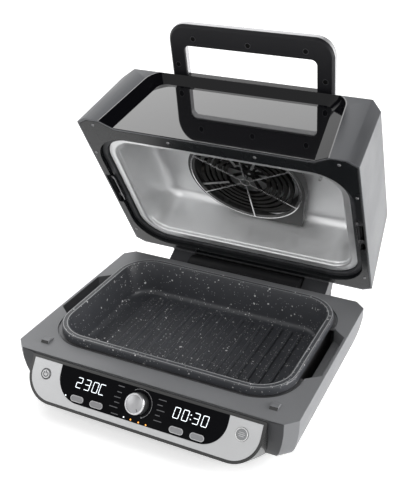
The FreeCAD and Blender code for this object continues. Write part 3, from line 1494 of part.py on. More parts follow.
def handle_band():
    """Metal upper half of the handle with soft edges and the crossbar on the lid."""
    low = GRIP_THICKNESS
    high = GRIP_THICKNESS + BAND_THICKNESS
    form = Part.Face(loop_wire(GRIP_CHAMFER, low)).extrude(V(0, 0, BAND_THICKNESS))
    rim = [e for e in form.Edges if e.BoundBox.ZMin > high - 0.01
           and e.BoundBox.YMin < GRIP_TAIL - 0.5]
    form = form.makeChamfer(BAND_BEVEL, rim)
    form = form.cut(loop_window(GRIP_TAIL + 10.0, low - 1.0, high + 1.0))
    half = GRIP_HALF - GRIP_LEG
    crossbar = box(-half, half, CROSSBAR_FRONT, GRIP_TAIL, 0.0, CROSSBAR_HEIGHT)
    return on_handle(fused([form, crossbar]))


def handle_base():
    """Dark wedge on the lid's top that carries the handle."""
    tilt = math.radians(HANDLE_TILT)
    outline = []
    for along in (CROSSBAR_FRONT, GRIP_TAIL):
        outline.append(V(-GRIP_HALF, HANDLE_ROOT_Y + along * math.cos(tilt),
                         HANDLE_ROOT_HEIGHT - along * math.sin(tilt)))
    low = [V(p.x, p.y, LID_HEIGHT) for p in reversed(outline)]
    return prism(outline + low, V(2 * GRIP_HALF, 0, 0))


# Hinge


def arm_profile(x):
    """Side view of a hinge arm on the closed lid, as points."""
    z = HINGE_Z - RIM_Z
    front = DECK_DEPTH + 2.4
    reach = HINGE_Y + ARM_RADIUS
    lean = LID_REAR_LEAN / LID_HEIGHT
    return [
        V(x, front, z), V(x, front, 1.0), V(x, LID_DEPTH - lean * 4.0, 4.0),
        V(x, LID_DEPTH - lean * ARM_PAD, ARM_PAD), V(x, LID_DEPTH - lean * ARM_PAD + 6.0, ARM_PAD),
        V(x, reach, 8.0), V(x, reach, z),
    ]


def hinge_skirt():
    """Round wall on the lid's rear edge that closes the gap over the hinge cover."""
    z = HINGE_Z - RIM_Z
    reach = HINGE_HALF + ARM_GAP + ARM_WIDTH
    inner = COVER_RADIUS + SKIRT_GAP
    outer = inner + SKIRT_WALL
    first = math.atan2(-z, LID_DEPTH - HINGE_Y)
    middle = first - math.radians(SKIRT_SWEEP) / 2
    last = first - math.radians(SKIRT_SWEEP)

    def at(radius, angle):
        return V(-reach, HINGE_Y + radius * math.cos(angle), z + radius * math.sin(angle))

    outline = Part.Wire([
        Part.Arc(at(inner, first), at(inner, middle), at(inner, last)).toShape(),
        Part.makeLine(at(inner, last), at(outer, last)),
        Part.Arc(at(outer, last), at(outer, middle), at(outer, first)).toShape(),
        Part.makeLine(at(outer, first), at(inner, first)),
    ])
    return Part.Face(outline).extrude(V(2 * reach, 0, 0))


def hinge_arms():
    """Two arms on the rear of the lid that turn on the hinge pins, joined by a round skirt."""
    x0 = HINGE_HALF + ARM_GAP
    z = HINGE_Z - RIM_Z
    knuckle = rod(ARM_RADIUS, V(x0, HINGE_Y, z), V(x0 + ARM_WIDTH, HINGE_Y, z))
    neck = prism(arm_profile(x0), V(ARM_WIDTH, 0, 0))
    body = fused([knuckle, neck]).cut(rod(PIN_RADIUS + RUNNING, V(x0 - 1.0, HINGE_Y, z),
                                          V(x0 + ARM_WIDTH + 1.0, HINGE_Y, z)))
    return fused(both(body) + [hinge_skirt()]).cut(lid_form(0.0, 0.0))


def hinge_rod(radius, trim):
    """A round bar along the hinge between the arms, cut short at both ends."""
    return rod(radius, V(trim - HINGE_HALF, HINGE_Y, HINGE_Z), V(HINGE_HALF - trim, HINGE_Y, HINGE_Z))


def hinge_housing():
    """Barrel behind the base that holds both hinge pins, under a round hollow cover."""
    root = DECK_DEPTH - WEB_ROOT
    web = prism([
        V(-HINGE_HALF, root, HINGE_Z - WEB_BELOW), V(-HINGE_HALF, HINGE_Y, HINGE_Z - BARREL_RADIUS),
        V(-HINGE_HALF, HINGE_Y, HINGE_Z + BARREL_RADIUS), V(-HINGE_HALF, root, HINGE_Z + WEB_ABOVE),
    ], V(2 * HINGE_HALF, 0, 0))
    cover = hinge_rod(COVER_RADIUS, 0.0).cut(hinge_rod(COVER_RADIUS - COVER_WALL, COVER_WALL))
    cover = cover.cut(box(-HALF, HALF, 0.0, HINGE_Y + WIDTH, -WIDTH, HINGE_Z - COVER_LOW))
    cover = cover.cut(box(-HALF, HALF, 0.0, DECK_DEPTH, 0.0, WIDTH))
    form = fused([hinge_rod(BARREL_RADIUS, 0.0), web.cut(hull(0.0, HULL_DROP, 0.0)), cover])
    bores = [rod(PIN_RADIUS + PIN_HOLD, V(side * (HINGE_HALF - PIN_SEAT), HINGE_Y, HINGE_Z),
                 V(side * (HINGE_HALF + 1.0), HINGE_Y, HINGE_Z)) for side in (-1, 1)]
    return cut(form, bores)


def hinge_pins():
    """Two pins with heads, fixed in the barrel, on which the lid's arms turn."""
    end = HINGE_HALF + ARM_GAP + ARM_WIDTH + FIT
    start = HINGE_HALF - PIN_SEAT + 0.5
    pin = rod(PIN_RADIUS, V(start, HINGE_Y, HINGE_Z), V(end, HINGE_Y, HINGE_Z))
    head = bar(6, PIN_HEAD_RADIUS, V(end, HINGE_Y, HINGE_Z), V(end + PIN_HEAD, HINGE_Y, HINGE_Z))
    return both(fused([pin, head]))


def listed(shapes, place):
    """Each of one or more shapes, moved by the given function."""
    group = shapes if isinstance(shapes, list) else [shapes]
    return [place(shape) for shape in group]


def as_is(shape):
    """A piece that is already where it belongs."""
    return shape


def build():
    """Every piece under its node's name, as a list of separate solids."""
    pieces = {}
    for maker in (base_shell, bottom_cover, rubber_feet, pan_well, lower_element, element_brackets,
                  element_bushes, thermal_cutout, lid_rests, power_board, cord_gland, cooking_pan,
                  panel_housing, hinge_housing, hinge_pins):
        pieces[maker.__name__] = listed(maker(), as_is)
    for maker in (panel_bezel, display_glass, control_board, segment_displays, tactile_switches,
                  rotary_encoder, encoder_shaft, selector_knob):
        pieces[maker.__name__] = listed(maker(), on_panel)
    pieces["power_button"] = listed(round_button(POWER_X, POWER_RADIUS), on_panel)
    pieces["start_button"] = listed(round_button(START_X, START_RADIUS), on_panel)
    names = ("temperature_down_button", "temperature_up_button", "time_down_button",
             "time_up_button")
    for name, x in zip(names, PILL_XS):
        pieces[name] = listed(pill_button(x), on_panel)
    for maker in (lid_shell, lid_front_panel, lid_rim_plate, lid_gasket, lid_liner,
                  liner_clips, fan_shroud, fan_guard, upper_element, element_clips, convection_fan,
                  motor_shaft, cooling_fan, fan_motor, motor_bracket, cavity_sensor, handle_base,
                  handle_grip, handle_band, lid_rear_vent, hinge_arms):
        pieces[maker.__name__] = listed(maker(), to_open)
    return pieces


def main():
    """Make every piece, centre the whole on its footprint and write the files."""
    pieces = build()
    whole = Part.makeCompound([s for group in pieces.values() for s in group])
    middle = (whole.BoundBox.YMin + whole.BoundBox.YMax) / 2
    os.makedirs("parts", exist_ok=True)
    for name, group in pieces.items():
        for shape in group:
            shape.translate(V(0, -middle, 0))
        shape = group[0] if len(group) == 1 else Part.makeCompound(group)
        shape.exportStep("parts/" + name + ".step")
    print("nodes", len(pieces), "front edge of the deck at Y", round(-middle, 3))
    return pieces, middle


PIECES, MIDDLE = main()
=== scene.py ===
"""Looks for a countertop air fryer oven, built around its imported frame.

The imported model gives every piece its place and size. This script gives each surface its finish,
adds the small pieces that the frame leaves out, and sets the camera, the lamps and the floor.
Every length is in metres unless its name says millimetres.
"""

import json
import logging
import math
from dataclasses import dataclass
from enum import Enum
from typing import Callable, Optional, Sequence

import bmesh
import bpy
from mathutils import Matrix, Vector

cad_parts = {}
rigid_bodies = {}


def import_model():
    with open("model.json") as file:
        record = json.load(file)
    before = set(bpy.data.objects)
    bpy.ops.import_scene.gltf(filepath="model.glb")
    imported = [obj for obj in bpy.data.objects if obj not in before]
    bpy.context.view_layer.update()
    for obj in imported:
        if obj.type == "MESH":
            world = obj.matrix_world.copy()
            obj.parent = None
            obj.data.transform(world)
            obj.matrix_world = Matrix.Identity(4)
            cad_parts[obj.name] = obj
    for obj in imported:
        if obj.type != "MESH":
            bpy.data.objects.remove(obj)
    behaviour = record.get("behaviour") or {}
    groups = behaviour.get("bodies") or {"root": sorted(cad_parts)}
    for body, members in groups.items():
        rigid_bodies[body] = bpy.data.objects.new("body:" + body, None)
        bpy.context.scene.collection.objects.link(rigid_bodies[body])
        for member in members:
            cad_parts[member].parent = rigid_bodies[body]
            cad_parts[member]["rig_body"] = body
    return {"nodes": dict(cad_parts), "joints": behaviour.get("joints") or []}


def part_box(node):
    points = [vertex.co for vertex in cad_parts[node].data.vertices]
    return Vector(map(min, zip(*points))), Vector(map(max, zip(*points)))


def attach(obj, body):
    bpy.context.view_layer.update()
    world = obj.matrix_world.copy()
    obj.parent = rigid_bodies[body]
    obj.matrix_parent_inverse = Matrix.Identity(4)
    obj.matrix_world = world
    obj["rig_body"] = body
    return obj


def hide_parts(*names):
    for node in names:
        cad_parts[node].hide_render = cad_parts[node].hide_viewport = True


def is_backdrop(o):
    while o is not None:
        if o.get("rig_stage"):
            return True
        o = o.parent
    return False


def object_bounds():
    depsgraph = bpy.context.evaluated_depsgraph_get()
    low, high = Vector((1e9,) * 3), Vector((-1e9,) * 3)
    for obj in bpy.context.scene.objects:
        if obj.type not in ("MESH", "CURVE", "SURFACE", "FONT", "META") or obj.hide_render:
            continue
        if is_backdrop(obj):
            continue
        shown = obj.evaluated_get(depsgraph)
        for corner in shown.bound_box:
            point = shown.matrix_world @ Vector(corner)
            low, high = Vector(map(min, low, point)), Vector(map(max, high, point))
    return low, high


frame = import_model()

log = logging.getLogger("oven")

Colour = tuple[float, float, float]
MM = 0.001
# Points of a CAD node that lie nearer than WELD are one, and so are a new piece's within TOUCH.
WELD = 2e-6
TOUCH = 1e-7
# Faces of a CAD node that bend less than this are one flat face.
FLAT = math.radians(0.3)


class Axis(Enum):
    """Directions that a brushed or combed finish can run in."""

    X = (1.0, 0.0, 0.0)
    Y = (0.0, 1.0, 0.0)
    Z = (0.0, 0.0, 1.0)


class Graph:
    """A node tree with short calls that add nodes and join them."""

    def __init__(self, tree: bpy.types.NodeTree) -> None:
        """Args:
            tree: the node tree of a material, a world or a node group.
        """
        self.tree = tree

    def add(self, kind: str, **settings: object) -> bpy.types.Node:
        """Add a node.

        Args:
            kind: the node's type without its ShaderNode prefix.
            settings: properties to set on the node.

        Returns:
            The new node.
        """
        node = self.tree.nodes.new("ShaderNode" + kind)
        for name, value in settings.items():
            setattr(node, name, value)
        return node

    def feed(self, socket: bpy.types.NodeSocket, value: object) -> None:
        """Join an output to a socket, or set the socket's own value.

        Args:
            socket: the input to fill.
            value: an output socket, a number, a vector or a colour.
        """
        if isinstance(value, bpy.types.NodeSocket):
            self.tree.links.new(value, socket)
        elif isinstance(value, tuple) and len(value) == 3 and socket.type == "RGBA":
            socket.default_value = (*value, 1.0)
        else:
            socket.default_value = value

    def sum(self, kind: str, first: object, second: object = 0.0) -> bpy.types.NodeSocket:
        """Add a math node.

        Args:
            kind: the operation, such as MULTIPLY.
            first: the first number or output.
            second: the second number or output.

        Returns:
            The node's output.
        """
        node = self.add("Math", operation=kind)
        self.feed(node.inputs[0], first)
        self.feed(node.inputs[1], second)
        return node.outputs[0]

    def blend(self, share: object, low: object, high: object) -> bpy.types.NodeSocket:
        """Mix two colours.

        Args:
            share: how much of the second colour shows.
            low: the first colour.
            high: the second colour.

        Returns:
            The mixed colour.
        """
        node = self.add("Mix", data_type="RGBA")
        self.feed(node.inputs["Factor"], share)
        self.feed(node.inputs[6], low)
        self.feed(node.inputs[7], high)
        return node.outputs[2]

    def span(self, value: object, start: float, end: float, low: float = 0.0,
             high: float = 1.0) -> bpy.types.NodeSocket:
        """Map a range of numbers smoothly to another.

        Args:
            value: the number or output to map.
            start: the value that gives low.
            end: the value that gives high.
            low: the result at the start.
            high: the result at the end.

        Returns:
            The mapped value.
        """
        node = self.add("MapRange", interpolation_type="SMOOTHSTEP")
        for name, number in (("Value", value), ("From Min", start), ("From Max", end),
                             ("To Min", low), ("To Max", high)):
            self.feed(node.inputs[name], number)
        return node.outputs[0]

    def place(self, stretch: tuple[float, float, float] = (1.0, 1.0, 1.0)
              ) -> bpy.types.NodeSocket:
        """Object coordinates, stretched along each axis.

        Args:
            stretch: the scale along X, Y and Z.

        Returns:
            The coordinates.
        """
        coordinates = self.add("TexCoord")
        mapping = self.add("Mapping")
        self.feed(mapping.inputs["Vector"], coordinates.outputs["Object"])
        mapping.inputs["Scale"].default_value = stretch
        return mapping.outputs["Vector"]

    def part(self, axis: str, where: Optional[object] = None) -> bpy.types.NodeSocket:
        """One part of a vector.

        Args:
            axis: X, Y or Z.
            where: the vector, or none for plain object coordinates.

        Returns:
            That part of it.
        """
        node = self.add("SeparateXYZ")
        self.feed(node.inputs[0], where if where is not None else self.place())
        return node.outputs[axis]

    def noise(self, scale: object, detail: float = 3.0, where: Optional[object] = None
              ) -> bpy.types.NodeSocket:
        """Add a noise pattern.

        Args:
            scale: how many features lie in a metre.
            detail: the number of finer layers.
            where: the coordinates, or none for plain object coordinates.

        Returns:
            The pattern, from 0 to 1.
        """
        node = self.add("TexNoise")
        self.feed(node.inputs["Vector"], where if where is not None else self.place())
        self.feed(node.inputs["Scale"], scale)
        node.inputs["Detail"].default_value = detail
        return node.outputs["Fac"]


class Effects:
    """Node groups that several finishes share, each built once.

    Attributes:
        made: the groups that are there, by name.
        edge_turn: how far a normal turns where an edge begins to show, and where it is full.
        coarse_share: the scale of the grain's coarse layer, as a share of the fine one's.
        layer_shares: how much of the grain's height comes from its fine and its coarse layer.
        mottle_scale: how many patches of the slow mottle lie in a metre.
        smear_scale: how many finger marks lie in a metre.
        dust_scale: how many specks of dust lie in a metre.
        dust_share: how strong the dust is beside the finger marks.
    """

    made: dict[str, bpy.types.NodeTree] = {}
    edge_turn = (0.01, 0.16)
    coarse_share = 0.31
    layer_shares = (0.65, 0.35)
    mottle_scale = 9.0
    smear_scale = 14.0
    dust_scale = 900.0
    dust_share = 0.6

    @classmethod
    def group(cls, name: str, sockets: Sequence[tuple[str, str, str, float]],
              fill: Callable[[Graph, bpy.types.Node, bpy.types.Node], None]
              ) -> bpy.types.NodeTree:
        """Make a node group, or find it if it is there.

        Args:
            name: the group's name.
            sockets: each socket's name, whether it goes IN or OUT, its kind and its value.
            fill: adds the nodes between the group's input and output.

        Returns:
            The group's node tree.
        """
        if name in cls.made:
            return cls.made[name]
        tree = bpy.data.node_groups.new(name, "ShaderNodeTree")
        for title, way, kind, value in sockets:
            socket = tree.interface.new_socket(
                title, in_out=way + "PUT", socket_type="NodeSocket" + kind)
            if way == "IN" and kind == "Float":
                socket.default_value = value
        start = tree.nodes.new("NodeGroupInput")
        end = tree.nodes.new("NodeGroupOutput")
        fill(Graph(tree), start, end)
        cls.made[name] = tree
        return tree

    @classmethod
    def use(cls, graph: Graph, tree: bpy.types.NodeTree, **values: float) -> bpy.types.Node:
        """Place a group in a material.

        Args:
            graph: the material's nodes.
            tree: the group.
            values: the group's inputs by name, with underscores for spaces.

        Returns:
            The group's node.
        """
        node = graph.add("Group", node_tree=tree)
        for name, value in values.items():
            graph.feed(node.inputs[name.replace("_", " ").title()], value)
        return node

    @classmethod
    def soft_edges(cls) -> bpy.types.NodeTree:
        """A normal that rounds sharp edges, and a mask of those edges.

        Returns:
            The group's node tree.
        """

        def fill(graph: Graph, start: bpy.types.Node, end: bpy.types.Node) -> None:
            """Add the nodes of the group.

            Args:
                graph: the group's nodes.
                start: the node of its inputs.
                end: the node of its outputs.
            """
            bevel = graph.add("Bevel", samples=6)
            graph.feed(bevel.inputs["Radius"], start.outputs["Radius"])
            plain = graph.add("NewGeometry")
            turn = graph.add("VectorMath", operation="DOT_PRODUCT")
            graph.feed(turn.inputs[0], bevel.outputs["Normal"])
            graph.feed(turn.inputs[1], plain.outputs["Normal"])
            bent = graph.sum("SUBTRACT", 1.0, turn.outputs["Value"])
            graph.feed(end.inputs["Normal"], bevel.outputs["Normal"])
            graph.feed(end.inputs["Edge"], graph.span(bent, *cls.edge_turn))

        return cls.group("soft_edges", [
            ("Radius", "IN", "Float", 0.001), ("Normal", "OUT", "Vector", 0.0),
            ("Edge", "OUT", "Float", 0.0)], fill)

    @classmethod
    def grain(cls) -> bpy.types.NodeTree:
        """A fine moulded grain: its height, and a slow mottle over the surface.

        Returns:
            The group's node tree.
        """

        def fill(graph: Graph, start: bpy.types.Node, end: bpy.types.Node) -> None:
            """Add the nodes of the group.

            Args:
                graph: the group's nodes.
                start: the node of its inputs.
                end: the node of its outputs.
            """
            scale = start.outputs["Scale"]
            layers = (graph.noise(scale, 2.0),
                      graph.noise(graph.sum("MULTIPLY", scale, cls.coarse_share), 3.0))
            fine, coarse = (graph.sum("MULTIPLY", layer, share)
                            for layer, share in zip(layers, cls.layer_shares))
            graph.feed(end.inputs["Height"], graph.sum("ADD", fine, coarse))
            graph.feed(end.inputs["Mottle"], graph.noise(cls.mottle_scale, 4.0))

        return cls.group("moulded_grain", [
            ("Scale", "IN", "Float", 2500.0), ("Height", "OUT", "Float", 0.0),
            ("Mottle", "OUT", "Float", 0.0)], fill)

    @classmethod
    def handling(cls) -> bpy.types.NodeTree:
        """A mask of faint finger marks and dust on a smooth surface.

        Returns:
            The group's node tree.
        """

        def fill(graph: Graph, start: bpy.types.Node, end: bpy.types.Node) -> None:
            """Add the nodes of the group.

            Args:
                graph: the group's nodes.
                start: the node of its inputs.
                end: the node of its outputs.
            """
            smears = graph.span(graph.noise(cls.smear_scale, 3.0), 0.50, 0.72)
            dust = graph.span(graph.noise(cls.dust_scale, 1.0), 0.66, 0.74)
            both = graph.sum("MAXIMUM", smears, graph.sum("MULTIPLY", dust, cls.dust_share))
            graph.feed(end.inputs["Mask"], graph.sum("MULTIPLY", both, start.outputs["Amount"]))

        return cls.group("handling_marks", [
            ("Amount", "IN", "Float", 1.0), ("Mask", "OUT", "Float", 0.0)], fill)


@dataclass(frozen=True)
class Finish:
    """A surface finish. Subclasses add what their surface shows.

    Attributes:
        name: the material's name.
        colour: the base colour, linear.
        roughness: how blurred its reflections are.
        edge: the radius of its softened edges, in metres.
        gloss: the level of its reflection, where 0.5 is plain plastic.
    """

    name: str
    colour: Colour
    roughness: float = 0.5
    edge: float = 0.0006
    gloss: float = 0.5

    def material(self) -> bpy.types.Material:
        """The material of this finish, made at its first use.

        Returns:
            The material.
        """
        found = bpy.data.materials.get(self.name)
        if found:
            return found
        made = bpy.data.materials.new(self.name)
        made.use_nodes = True
        graph = Graph(made.node_tree)
        shader = made.node_tree.nodes["Principled BSDF"]
        shader.inputs["Base Color"].default_value = (*self.colour, 1.0)
        shader.inputs["Roughness"].default_value = self.roughness
        shader.inputs["Specular IOR Level"].default_value = self.gloss
        self.dress(graph, shader)
        return made

    def dress(self, graph: Graph, shader: bpy.types.Node) -> None:
        """Add the nodes that this finish needs.

        Args:
            graph: the material's nodes.
            shader: its Principled BSDF.
        """

    def shade(self, factor: float, lift: float = 0.0) -> Colour:
        """The base colour made darker or lighter.

        Args:
            factor: what it is multiplied by.
            lift: what is added to it then.

        Returns:
            The new colour, at most white.
        """
        return tuple(min(1.0, part * factor + lift) for part in self.colour)

    def relief(self, graph: Graph, shader: bpy.types.Node, height: object, distance: float
               ) -> bpy.types.Node:
        """Softened edges with a fine relief on top.

        Args:
            graph: the material's nodes.
            shader: its Principled BSDF.
            height: the relief's height output.
            distance: its depth in metres.

        Returns:
            The node of the softened edges, for its edge mask.
        """
        edges = Effects.use(graph, Effects.soft_edges(), radius=self.edge)
        bump = graph.add("Bump")
        bump.inputs["Strength"].default_value = 1.0
        bump.inputs["Distance"].default_value = distance
        graph.feed(bump.inputs["Height"], height)
        graph.feed(bump.inputs["Normal"], edges.outputs["Normal"])
        graph.feed(shader.inputs["Normal"], bump.outputs["Normal"])
        return edges


@dataclass(frozen=True)
class MouldedPlastic(Finish):
    """Painted or bare moulded plastic with a fine grain.

    Attributes:
        grain: features of the grain in a metre.
        depth: the grain's depth in metres.
        mottle: how much its colour varies.
        edge_highlight: how much lighter its edges are painted, a painted highlight along them.
        metallic: how metallic its paint is.
    """

    grain: float = 2600.0
    depth: float = 0.00003
    mottle: float = 0.10
    edge_highlight: float = 0.25
    metallic: float = 0.0

    def dress(self, graph: Graph, shader: bpy.types.Node) -> None:
        """Add the grain, the mottle and a highlight painted along the edges.

        Args:
            graph: the material's nodes.
            shader: its Principled BSDF.
        """
        shader.inputs["Metallic"].default_value = self.metallic
        grain = Effects.use(graph, Effects.grain(), scale=self.grain)
        edges = self.relief(graph, shader, grain.outputs["Height"], self.depth)
        body = graph.blend(grain.outputs["Mottle"], self.shade(1.0 - self.mottle),
                           self.shade(1.0 + self.mottle))
        # Painted highlight: the edges are blended towards a lighter colour, as if they caught the
        # light.
        edge_highlight = graph.sum("MULTIPLY", edges.outputs["Edge"], self.edge_highlight)
        graph.feed(shader.inputs["Base Color"], graph.blend(edge_highlight, body, self.shade(1.5, 0.02)))
        rough = graph.span(grain.outputs["Mottle"], 0.3, 0.7,
                           self.roughness - 0.04, self.roughness + 0.05)
        graph.feed(shader.inputs["Roughness"], rough)


@dataclass(frozen=True)
class GlossPlastic(Finish):
    """Polished plastic or smoked glass with faint handling marks.

    Attributes:
        marks: how strongly the marks dull it.
        index: the index of refraction of its lacquer.
        sag: how much the moulded sheet falls towards the back, as a slope.
        dulled: how much rougher it is where it is fully marked.
        wave_scale: how many slow waves lie in a metre.
        wave_depth: their depth in metres.
    """

    marks: float = 0.5
    index: float = 1.5
    sag: float = 0.0
    dulled: float = 0.12
    wave_scale: float = 22.0
    wave_depth: float = 0.00003

    def dress(self, graph: Graph, shader: bpy.types.Node) -> None:
        """Add the marks and the slow waves of a moulded sheet.

        Args:
            graph: the material's nodes.
            shader: its Principled BSDF.
        """
        shader.inputs["IOR"].default_value = self.index
        marks = Effects.use(graph, Effects.handling(), amount=self.marks)
        rough = graph.span(marks.outputs["Mask"], 0.0, 1.0, self.roughness,
                           self.roughness + self.dulled)
        graph.feed(shader.inputs["Roughness"], rough)
        graph.feed(shader.inputs["Base Color"],
                   graph.blend(marks.outputs["Mask"], self.colour, self.shade(1.0, 0.01)))
        waves = graph.sum("MULTIPLY", graph.noise(self.wave_scale, 1.0), self.wave_depth)
        fall = graph.sum("MULTIPLY", graph.part("Y"), -self.sag)
        self.relief(graph, shader, graph.sum("ADD", waves, fall), 1.0)


@dataclass(frozen=True)
class SheetMetal(Finish):
    """Sheet or turned metal, with brushing along an axis.

    Attributes:
        along: the direction of the brushing.
        depth: the depth of its lines in metres.
        spangle: how much its tone varies in patches.
        metallic: how metallic it is, less where a sheet is etched dull.
        line_scale: how many lines of the brushing lie in a metre.
        line_stretch: the scale along the lines, as a share of that across them.
        patch_scale: how many patches of tone lie in a metre.
        edge_highlight: how much lighter its edges are painted, a painted highlight along them.
    """

    along: Axis = Axis.X
    depth: float = 0.00002
    spangle: float = 0.08
    metallic: float = 1.0
    line_scale: float = 2400.0
    line_stretch: float = 0.04
    patch_scale: float = 24.0
    edge_highlight: float = 0.35

    def dress(self, graph: Graph, shader: bpy.types.Node) -> None:
        """Add the brushing, the patches of tone and a highlight painted along the edges.

        Args:
            graph: the material's nodes.
            shader: its Principled BSDF.
        """
        shader.inputs["Metallic"].default_value = self.metallic
        stretch = tuple(self.line_stretch if part else 1.0 for part in self.along.value)
        lines = graph.noise(self.line_scale, 2.0, graph.place(stretch))
        edges = self.relief(graph, shader, lines, self.depth)
        patches = graph.noise(self.patch_scale, 5.0)
        tone = graph.blend(patches, self.shade(1.0 - self.spangle), self.shade(1.0 + self.spangle))
        # Painted highlight: the edges are blended towards a lighter colour, as if they caught the
        # light.
        edge_highlight = graph.sum("MULTIPLY", edges.outputs["Edge"], self.edge_highlight)
        graph.feed(shader.inputs["Base Color"], graph.blend(edge_highlight, tone, self.shade(1.25)))
        rough = graph.sum("ADD", graph.span(lines, 0.2, 0.8, -0.05, 0.05),
                          graph.span(patches, 0.3, 0.7, self.roughness - 0.04,
                                     self.roughness + 0.04))
        graph.feed(shader.inputs["Roughness"], rough)


@dataclass(frozen=True)
class TurnedFace(Finish):
    """Metal turned on a lathe, with the fine arcs of its tool.

    Attributes:
        arc_scale: how closely the arcs lie.
        waver: how much they waver.
        waver_scale: how closely the wavering lies along them.
        arc_depth: their depth in metres.
    """

    arc_scale: float = 380.0
    waver: float = 1.2
    waver_scale: float = 60.0
    arc_depth: float = 0.00001

    def dress(self, graph: Graph, shader: bpy.types.Node) -> None:
        """Add the arcs of the turning tool, and a highlight painted along its edges.

        Args:
            graph: the material's nodes.
            shader: its Principled BSDF.
        """
        shader.inputs["Metallic"].default_value = 1.0
        arcs = graph.add("TexWave", wave_type="RINGS", rings_direction="Z")
        graph.feed(arcs.inputs["Vector"], graph.place())
        for name, value in (("Scale", self.arc_scale), ("Distortion", self.waver),
                            ("Detail Scale", self.waver_scale)):
            graph.feed(arcs.inputs[name], value)
        edges = self.relief(graph, shader, arcs.outputs["Fac"], self.arc_depth)
        tone = graph.blend(arcs.outputs["Fac"], self.shade(0.90), self.colour)
        # Painted highlight: the edges are blended towards a lighter colour.
        graph.feed(shader.inputs["Base Color"],
                   graph.blend(edges.outputs["Edge"], tone, self.shade(1.3)))


@dataclass(frozen=True)
class SpeckledCoating(Finish):
    """Dark non-stick coating with pale specks of several sizes.

    Attributes:
        speck: the colour of the specks.
        rim_highlight: the colour of the highlight painted on its edges and on its rim's crests.
        crest: the height of the two crests of its rim, above which that highlight is painted.
        crest_blur: how softly the crests begin, in metres.
        sizes: for each size of speck, the cells in a metre, a speck's reach as a share of its
            cell, the share of cells that hold one, and how strongly it shows.
        wander: how far a speck strays from round, as a share of its cell.
        peel_scale: how many bumps of the orange peel lie in a metre.
        peel_depth: their depth in metres.
    """

    speck: Colour = (0.66, 0.66, 0.66)
    rim_highlight: Colour = (0.30, 0.305, 0.31)
    crest: float = 0.09675
    crest_blur: float = 0.00004
    sizes: tuple[tuple[float, float, float, float], ...] = (
        (340.0, 0.22, 0.24, 0.4), (180.0, 0.18, 0.17, 0.85), (85.0, 0.12, 0.13, 1.0))
    wander: float = 0.5
    peel_scale: float = 700.0
    peel_depth: float = 0.00006

    def specks(self, graph: Graph, scale: float, size: float, share: float
               ) -> bpy.types.NodeSocket:
        """A mask of specks of one size.

        Args:
            graph: the material's nodes.
            scale: how many cells lie in a metre.
            size: the reach of a speck, as a share of its cell.
            share: the share of cells that hold a speck.

        Returns:
            The mask.
        """
        warp = graph.add("VectorMath", operation="MULTIPLY_ADD")
        wobble = graph.add("TexNoise")
        wobble.inputs["Scale"].default_value = scale * 1.3
        graph.feed(wobble.inputs["Vector"], graph.place())
        graph.feed(warp.inputs[0], wobble.outputs["Color"])
        warp.inputs[1].default_value = (self.wander / scale,) * 3
        graph.feed(warp.inputs[2], graph.place())
        cells = graph.add("TexVoronoi")
        graph.feed(cells.inputs["Vector"], warp.outputs["Vector"])
        cells.inputs["Scale"].default_value = scale
        near = graph.span(cells.outputs["Distance"], size, size * 1.35, 1.0, 0.0)
        split = graph.add("SeparateColor")
        graph.feed(split.inputs["Color"], cells.outputs["Color"])
        return graph.sum("MULTIPLY", near,
                         graph.sum("LESS_THAN", split.outputs["Red"], share))

    def dress(self, graph: Graph, shader: bpy.types.Node) -> None:
        """Add the specks, the orange-peel relief and a highlight painted on the rim and edges.

        Args:
            graph: the material's nodes.
            shader: its Principled BSDF.
        """
        mask = None
        for scale, size, share, strength in self.sizes:
            specks = graph.sum("MULTIPLY", self.specks(graph, scale, size, share), strength)
            mask = specks if mask is None else graph.sum("MAXIMUM", mask, specks)
        peel = graph.noise(self.peel_scale, 3.0)
        height = graph.sum("ADD", peel, graph.sum("MULTIPLY", mask, 0.6))
        edges = self.relief(graph, shader, height, self.peel_depth)
        body = graph.blend(graph.noise(30.0, 4.0), self.shade(0.8), self.shade(1.25))
        # Painted highlight: the rim's two crests and the edges are blended towards a lighter
        # colour.
        crest_highlights = graph.span(graph.part("Z"), self.crest - self.crest_blur,
                            self.crest + self.crest_blur)
        rim = graph.sum("MAXIMUM", graph.sum("MULTIPLY", edges.outputs["Edge"], 0.55), crest_highlights)
        body = graph.blend(rim, body, self.rim_highlight)
        graph.feed(shader.inputs["Base Color"], graph.blend(mask, body, self.speck))
        graph.feed(shader.inputs["Roughness"],
                   graph.span(peel, 0.3, 0.7, self.roughness - 0.05, self.roughness + 0.06))


@dataclass(frozen=True)
class Rubber(Finish):
    """Matt rubber or silicone with a slight bloom."""

    def dress(self, graph: Graph, shader: bpy.types.Node) -> None:
        """Add the bloom and a soft relief.

        Args:
            graph: the material's nodes.
            shader: its Principled BSDF.
        """
        bloom = graph.span(graph.noise(70.0, 4.0), 0.35, 0.75)
        graph.feed(shader.inputs["Base Color"],
                   graph.blend(bloom, self.colour, self.shade(1.35, 0.01)))
        self.relief(graph, shader, graph.noise(1500.0, 3.0), 0.00004)


@dataclass(frozen=True)
class LitPrint(Finish):
    """Print or light-emitting segments on the black panel.

    Attributes:
        glow: the strength of the light, where 0 is plain print.
    """

    glow: float = 0.0

    def dress(self, graph: Graph, shader: bpy.types.Node) -> None:
        """Add the light, uneven as a diffuser is.

        Args:
            graph: the material's nodes.
            shader: its Principled BSDF.
        """
        uneven = graph.noise(500.0, 2.0)
        tone = graph.blend(uneven, self.shade(0.86), self.colour)
        graph.feed(shader.inputs["Base Color"], tone)
        if self.glow:
            graph.feed(shader.inputs["Emission Color"], tone)
            shader.inputs["Emission Strength"].default_value = self.glow


